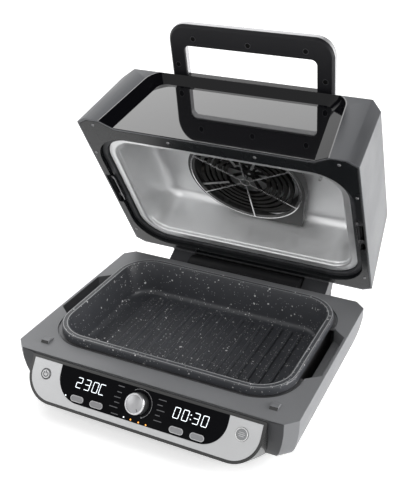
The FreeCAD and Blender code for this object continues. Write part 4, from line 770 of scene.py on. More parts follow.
@dataclass(frozen=True)
class BoardLaminate(Finish):
    """Green circuit board with copper tracks under its varnish.

    Attributes:
        track: the colour of the tracks.
        pitch: how many fields between tracks lie in a metre.
        gap: the width of the tracks beside such a field.
    """

    track: Colour = (0.10, 0.22, 0.07)
    pitch: float = 120.0
    gap: float = 0.02

    def dress(self, graph: Graph, shader: bpy.types.Node) -> None:
        """Add the tracks.

        Args:
            graph: the material's nodes.
            shader: its Principled BSDF.
        """
        bricks = graph.add("TexBrick")
        for name, value in (("Vector", graph.place()), ("Scale", self.pitch),
                            ("Mortar Size", self.gap), ("Color1", self.colour),
                            ("Color2", self.shade(0.8)), ("Mortar", self.track)):
            graph.feed(bricks.inputs[name], value)
        graph.feed(shader.inputs["Base Color"], bricks.outputs["Color"])
        self.relief(graph, shader, bricks.outputs["Fac"], 0.00003)


class Palette:
    """Every finish of the oven, by the name that its pieces use."""

    body_grey = MouldedPlastic("body_grey", (0.200, 0.203, 0.211), 0.46, 0.0012,
                               grain=3200.0, metallic=0.3)
    # Painted shade: a darker copy of the body paint for the front wall, shaded under the deck's
    # overhang.
    front_wall_shade = MouldedPlastic("front_wall_shade", (0.045, 0.046, 0.050), 0.42, 0.0008,
                               grain=3200.0, gloss=0.3)
    lid_grey = MouldedPlastic("lid_grey", (0.112, 0.115, 0.122), 0.38, 0.0018,
                              grain=3200.0, metallic=0.6)
    arm_grey = MouldedPlastic("arm_grey", (0.040, 0.041, 0.045), 0.40, 0.001, grain=2600.0)
    near_black = MouldedPlastic("near_black", (0.010, 0.010, 0.011), 0.44, grain=2200.0,
                                gloss=0.25, edge_highlight=0.4)
    rim_black = MouldedPlastic("rim_black", (0.008, 0.009, 0.010), 0.26, 0.0008,
                               gloss=0.35, depth=0.000015)
    housing_black = GlossPlastic("housing_black", (0.002, 0.002, 0.003), 0.3, 0.001, gloss=0.03,
                                 marks=0.1)
    piano_black = GlossPlastic("piano_black", (0.002, 0.002, 0.003), 0.03, 0.0012, marks=0.15,
                               index=2.6, sag=0.10)
    slope_black = GlossPlastic("slope_black", (0.002, 0.002, 0.003), 0.05, 0.0012, gloss=0.12,
                               marks=0.15)
    panel_glass = GlossPlastic("panel_glass", (0.002, 0.002, 0.003), 0.06, gloss=0.05,
                               marks=0.3)
    handle_dark = MouldedPlastic("handle_dark", (0.009, 0.009, 0.011), 0.42, 0.0012,
                                 gloss=0.22, edge_highlight=0.35)
    # Painted highlight: a lighter, glossier copy of the handle plastic for the rims of the screw
    # holes.
    handle_rim_highlight = MouldedPlastic("handle_rim_highlight", (0.030, 0.030, 0.034), 0.30, 0.0003, gloss=0.5)
    # Painted shade: near-black screw heads that stand for the dark inside the deep screw holes.
    hole_shade_black = MouldedPlastic("hole_shade_black", (0.002, 0.002, 0.002), 0.6, 0.0002, gloss=0.1)
    crossbar_black = GlossPlastic("crossbar_black", (0.004, 0.004, 0.005), 0.10, 0.0008,
                                  gloss=0.4)
    band_silver = SheetMetal("band_silver", (0.50, 0.50, 0.51), 0.34, 0.0012)
    fascia_silver = SheetMetal("fascia_silver", (0.475, 0.478, 0.484), 0.44, 0.0005,
                               depth=0.000008)
    button_silver = SheetMetal("button_silver", (0.24, 0.245, 0.25), 0.45, 0.0003)
    pill_grey = MouldedPlastic("pill_grey", (0.27, 0.27, 0.28), 0.42, 0.0003, edge_highlight=0.8)
    pill_edge = MouldedPlastic("pill_edge", (0.62, 0.62, 0.63), 0.35, 0.0002)
    knob_side = SheetMetal("knob_side", (0.58, 0.58, 0.59), 0.30, 0.0004)
    knob_top = TurnedFace("knob_top", (0.38, 0.38, 0.39), 0.36, 0.0003)
    liner_sheet = SheetMetal("liner_sheet", (0.80, 0.805, 0.81), 0.42, 0.002, depth=0.000006,
                             spangle=0.03, metallic=0.8)
    well_sheet = SheetMetal("well_sheet", (0.16, 0.16, 0.165), 0.45, along=Axis.Y, spangle=0.15)
    rod_sheath = SheetMetal("rod_sheath", (0.016, 0.015, 0.014), 0.5, 0.0003, spangle=0.2)
    bright_wire = SheetMetal("bright_wire", (0.80, 0.80, 0.80), 0.16, 0.0003)
    screw_steel = SheetMetal("screw_steel", (0.20, 0.20, 0.205), 0.30, 0.0002)
    shroud_black = MouldedPlastic("shroud_black", (0.005, 0.005, 0.006), 0.5, 0.0006,
                                  gloss=0.0, edge_highlight=0.4)
    motor_steel = SheetMetal("motor_steel", (0.45, 0.45, 0.45), 0.38, along=Axis.Z)
    fan_steel = SheetMetal("fan_steel", (0.022, 0.022, 0.022), 0.45, along=Axis.Z)
    gasket = Rubber("gasket_silicone", (0.030, 0.031, 0.034), 0.5, 0.001, gloss=0.3)
    # Rubber of the feet; also painted shade on the forward faces of the lid rests.
    foot_rubber = Rubber("foot_rubber", (0.02, 0.02, 0.02), 0.7, 0.0008, gloss=0.35)
    coating = SpeckledCoating("speckled_coating", (0.041, 0.043, 0.049), 0.38, 0.0010, gloss=0.5)
    board = BoardLaminate("circuit_board", (0.02, 0.09, 0.035), 0.4)
    white_glow = LitPrint("white_glow", (0.90, 0.96, 1.0), 0.5, glow=0.95)
    orange_glow = LitPrint("orange_glow", (1.0, 0.38, 0.06), 0.5, glow=1.6)
    print_grey = LitPrint("print_grey", (0.13, 0.13, 0.14), 0.5)
    print_dark = LitPrint("print_dark", (0.03, 0.03, 0.033), 0.5)
    scale_light = LitPrint("scale_light", (0.45, 0.45, 0.46), 0.5)


class Place:
    """Where the oven's flat drawings lie in the frame.

    Attributes:
        panel_tilt: how far the control panel leans back from upright.
        handle_tilt: how far the handle leans from the plane of the lid's rim.
        handle_root: the place on the lid where the handle begins, back and up.
        rim_gap: the height of the closed lid's rim over the deck.
    """

    panel_tilt = math.radians(33.3)
    handle_tilt = math.radians(18.5)
    handle_root = (0.0453, 0.1557)
    rim_gap = 0.004

    @classmethod
    def deck_edge(cls) -> Vector:
        """The middle of the deck's top front edge."""
        low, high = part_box("base_shell")
        return Vector((0.0, low.y, high.z))

    @classmethod
    def panel(cls) -> Matrix:
        """The sloped front: x across, y up the slope, z outwards.

        Returns:
            The matrix from that plane to the frame.
        """
        sine = math.sin(cls.panel_tilt)
        cosine = math.cos(cls.panel_tilt)
        turn = Matrix(((1, 0, 0), (0, sine, -cosine), (0, cosine, sine))).to_4x4()
        return Matrix.Translation(cls.deck_edge()) @ turn

    @classmethod
    def lid(cls) -> Matrix:
        """The opened lid: y back from its front edge, z up from the plane of its rim.

        Returns:
            The matrix from that plane to the frame.
        """
        hinge = next(j for j in frame["joints"] if j["name"] == "lid_hinge")
        pivot = Matrix.Translation(Vector(hinge["pos_m"]))
        swing = Matrix.Rotation(math.radians(hinge["range_deg"][0]), 4, "X")
        closed = Matrix.Translation(cls.deck_edge() + Vector((0.0, 0.0, cls.rim_gap)))
        return pivot @ swing @ pivot.inverted() @ closed

    @classmethod
    def handle(cls) -> Matrix:
        """The handle: x across, y from its bar to the lid, z from its dark underside.

        Returns:
            The matrix from that plane to the frame.
        """
        sine = math.sin(cls.handle_tilt)
        cosine = math.cos(cls.handle_tilt)
        turn = Matrix(((1, 0, 0), (0, cosine, sine), (0, -sine, cosine))).to_4x4()
        return cls.lid() @ Matrix.Translation((0.0, *cls.handle_root)) @ turn

    @staticmethod
    def top_of(node: str, plane: Matrix) -> float:
        """How far a node reaches along a plane's z.

        Args:
            node: the CAD node.
            plane: the plane's matrix.

        Returns:
            The height of its highest corner over the plane.
        """
        back = plane.inverted()
        return max((back @ v.co).z for v in frame["nodes"][node].data.vertices)


class Mould:
    """Makes finished objects out of edited meshes."""

    @staticmethod
    def cast(name: str, form: bmesh.types.BMesh, finish: Finish, body: str, slot: str,
             plane: Optional[Matrix] = None, crease: float = 0.0,
             turned: bool = False) -> bpy.types.Object:
        """Turn an edited mesh into a piece that rides on a body.

        Args:
            name: the piece's name.
            form: the edited mesh, which is freed.
            finish: the piece's finish.
            body: the CAD body that it moves with.
            slot: the record's material slot; not used.
            plane: the matrix from its drawing to the frame.
            crease: edges that bend less than this, in degrees, are shaded smooth.
            turned: whether its faces already point the right way.

        Returns:
            The new object.
        """
        bmesh.ops.remove_doubles(form, verts=form.verts, dist=TOUCH)
        if not turned:
            bmesh.ops.recalc_face_normals(form, faces=form.faces)
        if plane is not None:
            bmesh.ops.transform(form, matrix=plane, verts=form.verts)
        for face in form.faces:
            face.smooth = crease > 0.0
        for edge in form.edges:
            edge.smooth = edge.calc_face_angle(0.0) < math.radians(crease)
        mesh = bpy.data.meshes.new(name)
        form.to_mesh(mesh)
        form.free()
        piece = bpy.data.objects.new(name, mesh)
        bpy.context.scene.collection.objects.link(piece)
        mesh.materials.append(finish.material())
        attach(piece, body)
        log.info("%s: %d faces on %s", name, len(mesh.polygons), body)
        return piece

    @classmethod
    def refine(cls, node: str, finish: Finish, crease: float = 32.0, bevel: float = 0.0,
               keep: Optional[Callable[[bmesh.types.BMFace], bool]] = None, name: str = "",
               cuts: Sequence[float] = ()) -> bpy.types.Object:
        """Put a smooth copy of a CAD node in its place.

        Args:
            node: the CAD node.
            finish: the copy's finish.
            crease: edges that bend less than this, in degrees, are shaded smooth.
            bevel: the width of the bevel on its sharper edges, in metres.
            keep: says whether a face belongs to the copy.
            name: the copy's name, where it isn't the node's with "_skin".
            cuts: where its faces are cut across before they are told apart.

        Returns:
            The copy.
        """
        source = frame["nodes"][node]
        form = bmesh.new()
        form.from_mesh(source.data)
        bmesh.ops.remove_doubles(form, verts=form.verts, dist=WELD)
        bmesh.ops.dissolve_degenerate(form, edges=form.edges, dist=WELD)
        if bevel:
            bmesh.ops.dissolve_limit(form, angle_limit=FLAT, verts=form.verts, edges=form.edges)
        for at in cuts:
            bmesh.ops.bisect_plane(form, geom=[*form.verts, *form.edges, *form.faces],
                                   dist=WELD, plane_co=(at, 0.0, 0.0), plane_no=(1.0, 0.0, 0.0))
        if keep:
            away = [face for face in form.faces if not keep(face)]
            bmesh.ops.delete(form, geom=away, context="FACES")
        piece = cls.cast(name or node + "_skin", form, finish, source["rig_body"],
                         source.active_material.name, crease=180.0 if bevel else crease,
                         turned=True)
        if bevel:
            edges = piece.modifiers.new("edges", "BEVEL")
            edges.width = bevel
            edges.segments = 2
            edges.limit_method = "ANGLE"
            edges.angle_limit = math.radians(crease)
            shading = piece.modifiers.new("shading", "WEIGHTED_NORMAL")
            shading.weight = 90
        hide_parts(node)
        return piece

    @staticmethod
    def join(forms: Sequence[bmesh.types.BMesh]) -> bmesh.types.BMesh:
        """Put several edited meshes into one.

        Args:
            forms: the meshes, which are freed.

        Returns:
            The mesh that holds them all.
        """
        whole = bmesh.new()
        for form in forms:
            part = bpy.data.meshes.new("part")
            form.to_mesh(part)
            form.free()
            whole.from_mesh(part)
            bpy.data.meshes.remove(part)
        return whole

    @staticmethod
    def bar(width: float, length: float, height: float, at: Vector, turn: float = 0.0,
            taper: float = 0.0) -> bmesh.types.BMesh:
        """A low bar with bevelled or pointed ends, standing on z = 0.

        Args:
            width: its size across.
            length: its size along.
            height: how far it stands up.
            at: the middle of its foot.
            turn: its turn about z, in radians.
            taper: how far its ends are cut back at the corners.

        Returns:
            The edited mesh.
        """
        form = bmesh.new()
        bmesh.ops.create_cube(form, size=1.0)
        bmesh.ops.scale(form, vec=(width, length, height), verts=form.verts)
        bmesh.ops.translate(form, vec=(0.0, 0.0, height / 2), verts=form.verts)
        if taper:
            posts = [e for e in form.edges
                     if abs(e.verts[0].co.z - e.verts[1].co.z) > height / 2]
            bmesh.ops.bevel(form, geom=posts, offset=taper, segments=1, profile=0.5,
                            affect="EDGES", material=-1)
        bmesh.ops.rotate(form, cent=(0, 0, 0), matrix=Matrix.Rotation(turn, 3, "Z"),
                         verts=form.verts)
        bmesh.ops.translate(form, vec=at, verts=form.verts)
        return form

    @staticmethod
    def ring(radius: float, width: float, height: float, at: Vector, start: float = 0.0,
             sweep: float = 2 * math.pi, steps: int = 48) -> bmesh.types.BMesh:
        """A flat ring or an arc of one, standing on z = 0.

        Args:
            radius: the radius of its middle.
            width: its width across.
            height: how far it stands up.
            at: its centre.
            start: the angle where it starts.
            sweep: the angle that it covers.
            steps: how many stretches it has.

        Returns:
            The edited mesh.
        """
        form = bmesh.new()
        corners = [(radius - width / 2, 0.0), (radius + width / 2, 0.0),
                   (radius + width / 2, height), (radius - width / 2, height)]
        verts = [form.verts.new((x, 0.0, z)) for x, z in corners]
        profile = form.faces.new(verts)
        bmesh.ops.rotate(form, cent=(0, 0, 0), matrix=Matrix.Rotation(start, 3, "Z"), verts=verts)
        closed = sweep > 2 * math.pi - 1e-6
        geom = list(profile.edges) + verts if closed else [profile] + list(profile.edges) + verts
        if closed:
            form.faces.remove(profile)
        bmesh.ops.spin(form, geom=geom, cent=(0, 0, 0), axis=(0, 0, 1), angle=sweep,
                       steps=steps, use_merge=closed, use_duplicate=False)
        bmesh.ops.translate(form, vec=at, verts=form.verts)
        return form

    @staticmethod
    def turned(points: Sequence[tuple[float, float]], at: Vector, steps: int = 64
               ) -> bmesh.types.BMesh:
        """A form turned on a lathe about z.

        Args:
            points: its profile, as distance from the axis and height.
            at: the foot of its axis.
            steps: how many stretches it has.

        Returns:
            The edited mesh.
        """
        form = bmesh.new()
        verts = [form.verts.new((x, 0.0, z)) for x, z in points]
        edges = [form.edges.new(pair) for pair in zip(verts, verts[1:])]
        bmesh.ops.spin(form, geom=verts + edges, cent=(0, 0, 0), axis=(0, 0, 1),
                       angle=2 * math.pi, steps=steps, use_merge=True, use_duplicate=False)
        bmesh.ops.translate(form, vec=at, verts=form.verts)
        return form

    @staticmethod
    def rounded(half_x: float, half_y: float, radius: float, at: Vector, steps: int = 8
                ) -> bmesh.types.BMesh:
        """A flat face with round corners.

        Args:
            half_x: half its size across.
            half_y: half its size along.
            radius: the radius of its corners.
            at: its middle.
            steps: how many stretches a corner has.

        Returns:
            The edited mesh.
        """
        form = bmesh.new()
        bmesh.ops.create_grid(form, x_segments=1, y_segments=1, size=1.0)
        bmesh.ops.scale(form, vec=(half_x, half_y, 1.0), verts=form.verts)
        bmesh.ops.bevel(form, geom=list(form.verts), offset=radius, offset_type="OFFSET",
                        segments=steps, profile=0.5, affect="VERTICES", material=-1)
        bmesh.ops.translate(form, vec=at, verts=form.verts)
        return form

    @classmethod
    def drawn(cls, half_x: float, half_y: float, radius: float, middle: tuple[float, float],
              section: Sequence[tuple[float, float]], steps: int = 14) -> bmesh.types.BMesh:
        """A form drawn from a sheet with round corners, closed at its last step.

        Args:
            half_x: half its size across, in millimetres.
            half_y: half its size along.
            radius: the radius of its corners.
            middle: its middle, across and along.
            section: how far each step lies in from the outline, and its height.
            steps: how many stretches a corner has.

        Returns:
            The edited mesh, with its last face pointing up.
        """
        inset, height = section[0]
        form = cls.rounded(half_x * MM, half_y * MM, radius * MM,
                           Vector((*middle, height)) * MM, steps)
        face = form.faces[:]
        for inward, up in section[1:]:
            bmesh.ops.inset_region(form, faces=face, thickness=(inward - inset) * MM,
                                   use_boundary=True, use_even_offset=True)
            bmesh.ops.translate(form, vec=(0.0, 0.0, (up - height) * MM), verts=face[0].verts)
            inset, height = inward, up
        form.normal_update()
        if face[0].normal.z < 0.0:
            bmesh.ops.reverse_faces(form, faces=form.faces)
        return form

    @classmethod
    def hoop(cls, half_x: float, half_y: float, radius: float, width: float, height: float,
             at: Vector) -> bmesh.types.BMesh:
        """A thin raised line round a flat face with round corners.

        Args:
            half_x: half its size across.
            half_y: half its size along.
            radius: the radius of its corners.
            width: the line's width.
            height: how far it stands up.
            at: its middle.

        Returns:
            The edited mesh.
        """
        form = cls.rounded(half_x, half_y, radius, at)
        field = form.faces[:]
        bmesh.ops.inset_region(form, faces=field, thickness=width, use_boundary=True,
                               use_even_offset=True)
        bmesh.ops.delete(form, geom=field, context="FACES_ONLY")
        raised = bmesh.ops.extrude_face_region(form, geom=form.faces[:])["geom"]
        bmesh.ops.translate(form, vec=(0.0, 0.0, height),
                            verts=[v for v in raised if isinstance(v, bmesh.types.BMVert)])
        return form

    @staticmethod
    def screw(radius: float, height: float, at: Vector) -> bmesh.types.BMesh:
        """A domed screw head with a six-sided socket, standing on z = 0.

        Args:
            radius: the head's radius.
            height: the head's height.
            at: the middle of its foot.

        Returns:
            The edited mesh.
        """
        sides, crown, rounding = 24, 0.8, 0.16
        socket_foot, socket_mouth, socket_depth = 0.36, 0.42, 0.5
        form = bmesh.new()
        made = bmesh.ops.create_cone(form, cap_ends=True, segments=sides, radius1=radius,
                                     radius2=radius * crown, depth=height)
        bmesh.ops.translate(form, vec=(0.0, 0.0, height / 2), verts=made["verts"])
        top = max(form.faces, key=lambda f: f.calc_center_median().z)
        bmesh.ops.bevel(form, geom=list(top.edges), offset=radius * rounding, segments=2,
                        profile=0.5, affect="EDGES", material=-1)
        socket = bmesh.ops.create_cone(form, cap_ends=False, segments=6,
                                       radius1=radius * socket_foot, radius2=radius * socket_mouth,
                                       depth=height * socket_depth)["verts"]
        middle = height * 0.8
        bmesh.ops.translate(form, vec=(0.0, 0.0, middle), verts=socket)
        form.faces.new([v for v in socket if v.co.z < middle])
        top = max((f for f in form.faces if len(f.verts) == sides),
                  key=lambda f: f.calc_center_median().z)
        lip = [e for e in form.edges if all(v in socket and v.co.z > middle for v in e.verts)]
        rim = list(top.edges)
        form.faces.remove(top)
        bmesh.ops.bridge_loops(form, edges=rim + lip)
        for vert in socket:
            vert.co.z = min(vert.co.z, height)
        bmesh.ops.translate(form, vec=at, verts=form.verts)
        return form


def dress_nodes(finish: Finish, *nodes: str) -> None:
    """Give CAD nodes a better material.

    Args:
        finish: their finish.
        nodes: the CAD nodes.
    """
    for node in nodes:
        for holder in frame["nodes"][node].material_slots:
            holder.material = finish.material()
        log.info("%s: %s", node, finish.name)


@dataclass
class Base:
    """The base: deck and walls, feet, pan well, lower element and the pieces on them.

    Attributes:
        front_y: the front wall lies before this.
        front_top: the front wall ends at this height, under the deck's edge.
        bottom_screws: the places of the floor plate's screws, on one side.
        bottom_height: the height of the floor plate's underside.
        screw_size: the radius and the height of a screw head.
    """

    front_y: float = -0.17
    front_top: float = 0.0806
    bottom_screws: tuple[tuple[float, float], ...] = (
        (0.125, -0.176), (0.125, 0.054), (0.177, -0.060))
    bottom_height: float = 0.008
    screw_size: tuple[float, float] = (0.0032, 0.0014)

    def in_front(self, face: bmesh.types.BMFace) -> bool:
        """Whether a face is on the front wall, under the deck's edge."""
        at = face.calc_center_median()
        return face.normal.y < -0.85 and at.y < self.front_y and at.z < self.front_top

    @staticmethod
    def faces_forward(face: bmesh.types.BMFace) -> bool:
        """Whether a face of a rest is on the side of its ramp and faces forward, where shade is
        painted.
        """
        return face.normal.y <= -0.3

    def dress(self) -> None:
        """Give the base's CAD nodes their finishes."""
        Mould.refine("base_shell", Palette.body_grey, bevel=0.0007,
                     keep=lambda face: not self.in_front(face))
        # Painted shade: the front wall under the deck's edge gets a darker copy of the body paint.
        Mould.refine("base_shell", Palette.front_wall_shade, keep=self.in_front, name="front_wall")
        Mould.refine("hinge_housing", Palette.near_black)
        Mould.refine("pan_well", Palette.well_sheet)
        Mould.refine("lower_element", Palette.rod_sheath, crease=50.0)
        # Painted shade: the rests' forward faces get a near-black finish, for the side away from
        # the light.
        Mould.refine("lid_rests", Palette.body_grey, keep=lambda face: not self.faces_forward(face))
        Mould.refine("lid_rests", Palette.foot_rubber, keep=self.faces_forward,
                     name="lid_rest_shaded_fronts")
        dress_nodes(Palette.near_black, "bottom_cover", "cord_gland")
        dress_nodes(Palette.foot_rubber, "rubber_feet")
        dress_nodes(Palette.motor_steel, "element_brackets", "hinge_pins", "thermal_cutout")
        dress_nodes(Palette.gasket, "element_bushes")
        dress_nodes(Palette.board, "power_board", "control_board")

    def fasteners(self) -> None:
        """The screws that hold the floor plate."""
        under = (Matrix.Translation((0.0, 0.0, self.bottom_height))
                 @ Matrix.Rotation(math.pi, 4, "Y"))
        forms = [Mould.screw(*self.screw_size, Vector((side * x, y, 0.0)))
                 for x, y in self.bottom_screws for side in (-1, 1)]
        Mould.cast("bottom_screws", Mould.join(forms), Palette.screw_steel, "base",
                   "bright_steel", under)

    def build(self) -> None:
        """Dress the base and make what the frame leaves out."""
        self.dress()
        self.fasteners()


@dataclass
class Pan:
    """The cooking pan: rolled rim, drafted wall, round foot and grill ridges.

    Attributes:
        half: half its size across and along, in millimetres.
        corner: the radius of its corners.
        middle: its middle, across and along.
        inside: the section of its upper side, in from the outline and up.
        outside: the section of its underside.
        ridge_pitch: the distance between two ridges.
        ridge_count: how many ridges it has.
        ridge_half: half a ridge's size across and along.
        ridge_corner: the radius of a ridge's ends.
        ridge_middle: the middle of the ridges along.
        ridge: a ridge's section.
    """

    half: tuple[float, float] = (189.0, 134.0)
    corner: float = 58.0
    middle: tuple[float, float] = (0.0, -46.15)
    inside: tuple[tuple[float, float], ...] = (
        (0.0, 85.0), (0.0, 94.6), (0.3, 95.8), (1.0, 96.5), (2.1, 96.9), (3.2, 96.7), (7.4, 96.7),
        (8.4, 96.9), (9.6, 96.6), (10.5, 96.0), (10.9, 95.0), (15.3, 74.5), (19.9, 53.0),
        (20.2, 49.9), (21.1, 47.0), (22.5, 44.5), (24.4, 42.6), (26.6, 41.4), (28.9, 41.0))
    outside: tuple[tuple[float, float], ...] = (
        (2.0, 85.0), (2.0, 94.2), (8.2, 94.2), (8.6, 92.0), (18.0, 47.0), (18.9, 43.6),
        (20.6, 40.6), (22.6, 38.7), (25.0, 38.0))
    ridge_pitch: float = 17.0
    ridge_count: int = 17
    ridge_half: tuple[float, float] = (3.0, 96.0)
    ridge_corner: float = 2.6
    ridge_middle: float = -45.15
    ridge: tuple[tuple[float, float], ...] = (
        (0.0, 40.6), (0.3, 42.2), (0.8, 43.3), (1.5, 43.9), (2.3, 44.0))

    def vessel(self) -> bmesh.types.BMesh:
        """The pan without its ridges, closed along the foot of its rim.

        Returns:
            The edited mesh.
        """
        shapes = []
        for section in (self.inside, self.outside):
            inset = section[0][0]
            steps = [(inward - inset, up) for inward, up in section]
            shapes.append(Mould.drawn(self.half[0] - inset, self.half[1] - inset,
                                      self.corner - inset, self.middle, steps))
        bmesh.ops.reverse_faces(shapes[1], faces=shapes[1].faces)
        whole = Mould.join(shapes)
        bmesh.ops.bridge_loops(whole, edges=[e for e in whole.edges if e.is_boundary])
        return whole

    def build(self) -> None:
        """Make the pan and its ridges with their speckled coating."""
        piece = Mould.cast("pan_vessel", self.vessel(), Palette.coating, "pan", "pan_coating",
                           crease=50.0)
        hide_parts("cooking_pan")
        first = -(self.ridge_count - 1) / 2
        forms = [Mould.drawn(*self.ridge_half, self.ridge_corner,
                             ((first + i) * self.ridge_pitch, self.ridge_middle), self.ridge, 5)
                 for i in range(self.ridge_count)]
        Mould.cast("pan_ridges", Mould.join(forms), Palette.coating, "pan", "pan_coating",
                   crease=50.0, turned=True)


@dataclass
class ControlPanel:
    """The sloped control panel with its glass, prints, displays, knob and buttons.

    Attributes:
        digit_height: the height of a digit.
        digit_width: the width of a digit.
        stroke: the width of a segment.
        lean: how far a digit's top leans to the right, as a share of its height.
        print_height: how far print stands on the glass.
        display_down: how far the displays' middle lies below the deck's edge.
        left_digits: the x of each digit on the left display.
        right_digits: the x of each digit on the right display.
        temperature: the digits of the left display.
        time: the digits of the right display.
        colon: how far its two dots lie from their middle, and their size.
        white_spots: the places of the white indicator lights.
        orange_spots: the places of the orange indicator lights.
        spot_radii: the radius of such a light at its foot and at its top.
        legends: each plain bar in place of a program's word: its x, how far down and its length.
        legend_width: the width of such a bar.
        scale: the scale round the knob: its radius, its line, and its start and sweep in degrees.
        dot_radii: the radius of the dot at its start, at the foot and at the top.
        knob_at: the middle of the knob.
        power_at: the middle of the power button.
        start_at: the middle of the start button.
        pills: the body of each long button and its x.
        pill_down: how far the long buttons lie below the deck's edge.
        knob_profile: the knob's outline, out from its axis and up, in millimetres.
        knob_dish: the outline of its dished face.
        mark_size: the width and length of the mark on the knob's face.
        mark_at: its distance from the axis and its height.
        mark_turn: its turn round the axis in degrees.
        power_rings: the radius and the width of the power button's outer and inner ring.
        power_gap: the start and the sweep of the inner ring in degrees.
        power_bar: the width, the length and the place of the bar in its gap.
        start_trim: the radius, the width and the height of the start button's ring.
        start_lines: each line on the start button: how far up and its length.
        start_width: the width of such a line.
        pill_line: the long buttons' line: half its size across and along, its corner, its width.
    """

    digit_height: float = 0.0155
    digit_width: float = 0.0088
    stroke: float = 0.0010
    lean: float = 0.06
    print_height: float = 0.00008
    display_down: float = 0.0256
    left_digits: tuple[float, ...] = (-0.0975, -0.0842, -0.0712, -0.0600)
    right_digits: tuple[float, ...] = (0.0573, 0.0703, 0.0863, 0.0993)
    temperature: str = "230C"
    time: str = "0030"
    colon: tuple[float, float] = (0.003, 0.0016)
    white_spots: tuple[tuple[float, float], ...] = ((-0.1146, -0.0480), (-0.0180, -0.0525))
    orange_spots: tuple[tuple[float, float], ...] = (
        (-0.0070, -0.0530), (0.0055, -0.0535), (0.0170, -0.0539))
    spot_radii: tuple[float, float] = (0.0011, 0.0009)
    legends: tuple[tuple[float, float, float], ...] = (
        (-0.0320, 0.0130, 0.010), (-0.0330, 0.0215, 0.007), (-0.0345, 0.0290, 0.010),
        (-0.0335, 0.0362, 0.008), (-0.0370, 0.0432, 0.013), (-0.0330, 0.0520, 0.011),
        (0.0330, 0.0150, 0.012), (0.0310, 0.0225, 0.008), (0.0335, 0.0295, 0.012),
        (0.0305, 0.0368, 0.007), (0.0325, 0.0440, 0.012))
    legend_width: float = 0.0010
    scale: tuple[float, float, float, float] = (0.0195, 0.0004, -66.0, 190.0)
    dot_radii: tuple[float, float] = (0.0009, 0.0008)
    knob_at: tuple[float, float] = (0.0, -0.0286)
    power_at: tuple[float, float] = (-0.1543, -0.0273)
    start_at: tuple[float, float] = (0.1524, -0.0273)
    pills: tuple[tuple[str, float], ...] = (
        ("temperature_down", -0.0952), ("temperature_up", -0.0636),
        ("time_down", 0.0621), ("time_up", 0.0933))
    pill_down: float = 0.0484
    knob_profile: tuple[tuple[float, float], ...] = (
        (0.0, 0.6), (14.5, 0.6), (14.9, 1.0), (15.0, 1.6), (15.0, 13.4), (14.8, 14.8),
        (14.3, 15.7), (13.6, 16.2), (12.9, 16.4), (12.4, 16.3), (12.1, 15.9), (12.1, 15.2),
        (0.0, 15.2))
    knob_dish: tuple[tuple[float, float], ...] = (
        (0.0, 15.2), (12.1, 15.2), (12.1, 15.8), (11.9, 15.9), (0.0, 15.9))
    mark_size: tuple[float, float] = (0.0010, 0.0038)
    mark_at: tuple[float, float] = (0.0096, 0.0159)
    mark_turn: float = -142.0
    power_rings: tuple[tuple[float, float], ...] = ((0.0070, 0.0015), (0.0036, 0.0013))
    power_gap: tuple[float, float] = (125.0, 290.0)
    power_bar: tuple[float, float, float] = (0.0013, 0.0042, 0.0027)
    start_trim: tuple[float, float, float] = (0.0083, 0.0010, 0.00015)
    start_lines: tuple[tuple[float, float], ...] = (
        (0.0024, 0.0070), (0.0, 0.0095), (-0.0024, 0.0070))
    start_width: float = 0.0007
    pill_line: tuple[float, float, float, float] = (0.0104, 0.0044, 0.00439, 0.0007)

    SEGMENTS = {
        "0": "abcdef", "1": "bc", "2": "abged", "3": "abgcd", "4": "fgbc", "5": "afgcd",
        "6": "afgecd", "7": "abc", "8": "abcdefg", "9": "abcdfg", "C": "adef",
    }

    def dress(self) -> None:
        """Give the panel's CAD nodes their finishes."""
        Mould.refine("panel_housing", Palette.housing_black)
        Mould.refine("panel_bezel", Palette.fascia_silver)
        Mould.refine("display_glass", Palette.panel_glass)
        dress_nodes(Palette.near_black, "segment_displays", "tactile_switches", "rotary_encoder")
        dress_nodes(Palette.motor_steel, "encoder_shaft")
        dress_nodes(Palette.fascia_silver, "power_button")
        dress_nodes(Palette.button_silver, "start_button")
        dress_nodes(Palette.pill_grey, *(body + "_button" for body, _ in self.pills))

    def segment(self, letter: str, x: float) -> bmesh.types.BMesh:
        """One segment of a digit.

        Args:
            letter: the segment, from a at the top clockwise to f, and g in the middle.
            x: the middle of the digit.

        Returns:
            The edited mesh.
        """
        tall = self.digit_height / 2 - self.stroke / 2
        wide = self.digit_width / 2 - self.stroke / 2
        places = {
            "a": (0.0, tall, False), "b": (wide, tall / 2, True), "c": (wide, -tall / 2, True),
            "d": (0.0, -tall, False), "e": (-wide, -tall / 2, True), "f": (-wide, tall / 2, True),
            "g": (0.0, 0.0, False),
        }
        dx, dy, upright = places[letter]
        length = (tall if upright else 2 * wide) - self.stroke * 0.25
        form = Mould.bar(self.stroke, length, self.print_height,
                         Vector((dx, dy, 0.0)), 0.0 if upright else math.pi / 2,
                         self.stroke * 0.42)
        bmesh.ops.transform(form, verts=form.verts, matrix=Matrix(
            ((1, self.lean * 2, 0, x), (0, 1, 0, -self.display_down), (0, 0, 1, 0), (0, 0, 0, 1))))
        return form

    def readouts(self, plane: Matrix) -> None:
        """The lit digits of both displays.

        Args:
            plane: the glass's outer plane.
        """
        forms = []
        for text, places in ((self.temperature, self.left_digits), (self.time, self.right_digits)):
            for sign, x in zip(text, places):
                forms += [self.segment(letter, x) for letter in self.SEGMENTS[sign]]
        middle = (self.right_digits[1] + self.right_digits[2]) / 2
        apart, size = self.colon
        for dy in (-apart, apart):
            forms.append(Mould.bar(size, size, self.print_height,
                                   Vector((middle, dy - self.display_down, 0.0)), 0.0, size / 4))
        Mould.cast("display_digits", Mould.join(forms), Palette.white_glow, "base",
                   "display_face", plane)

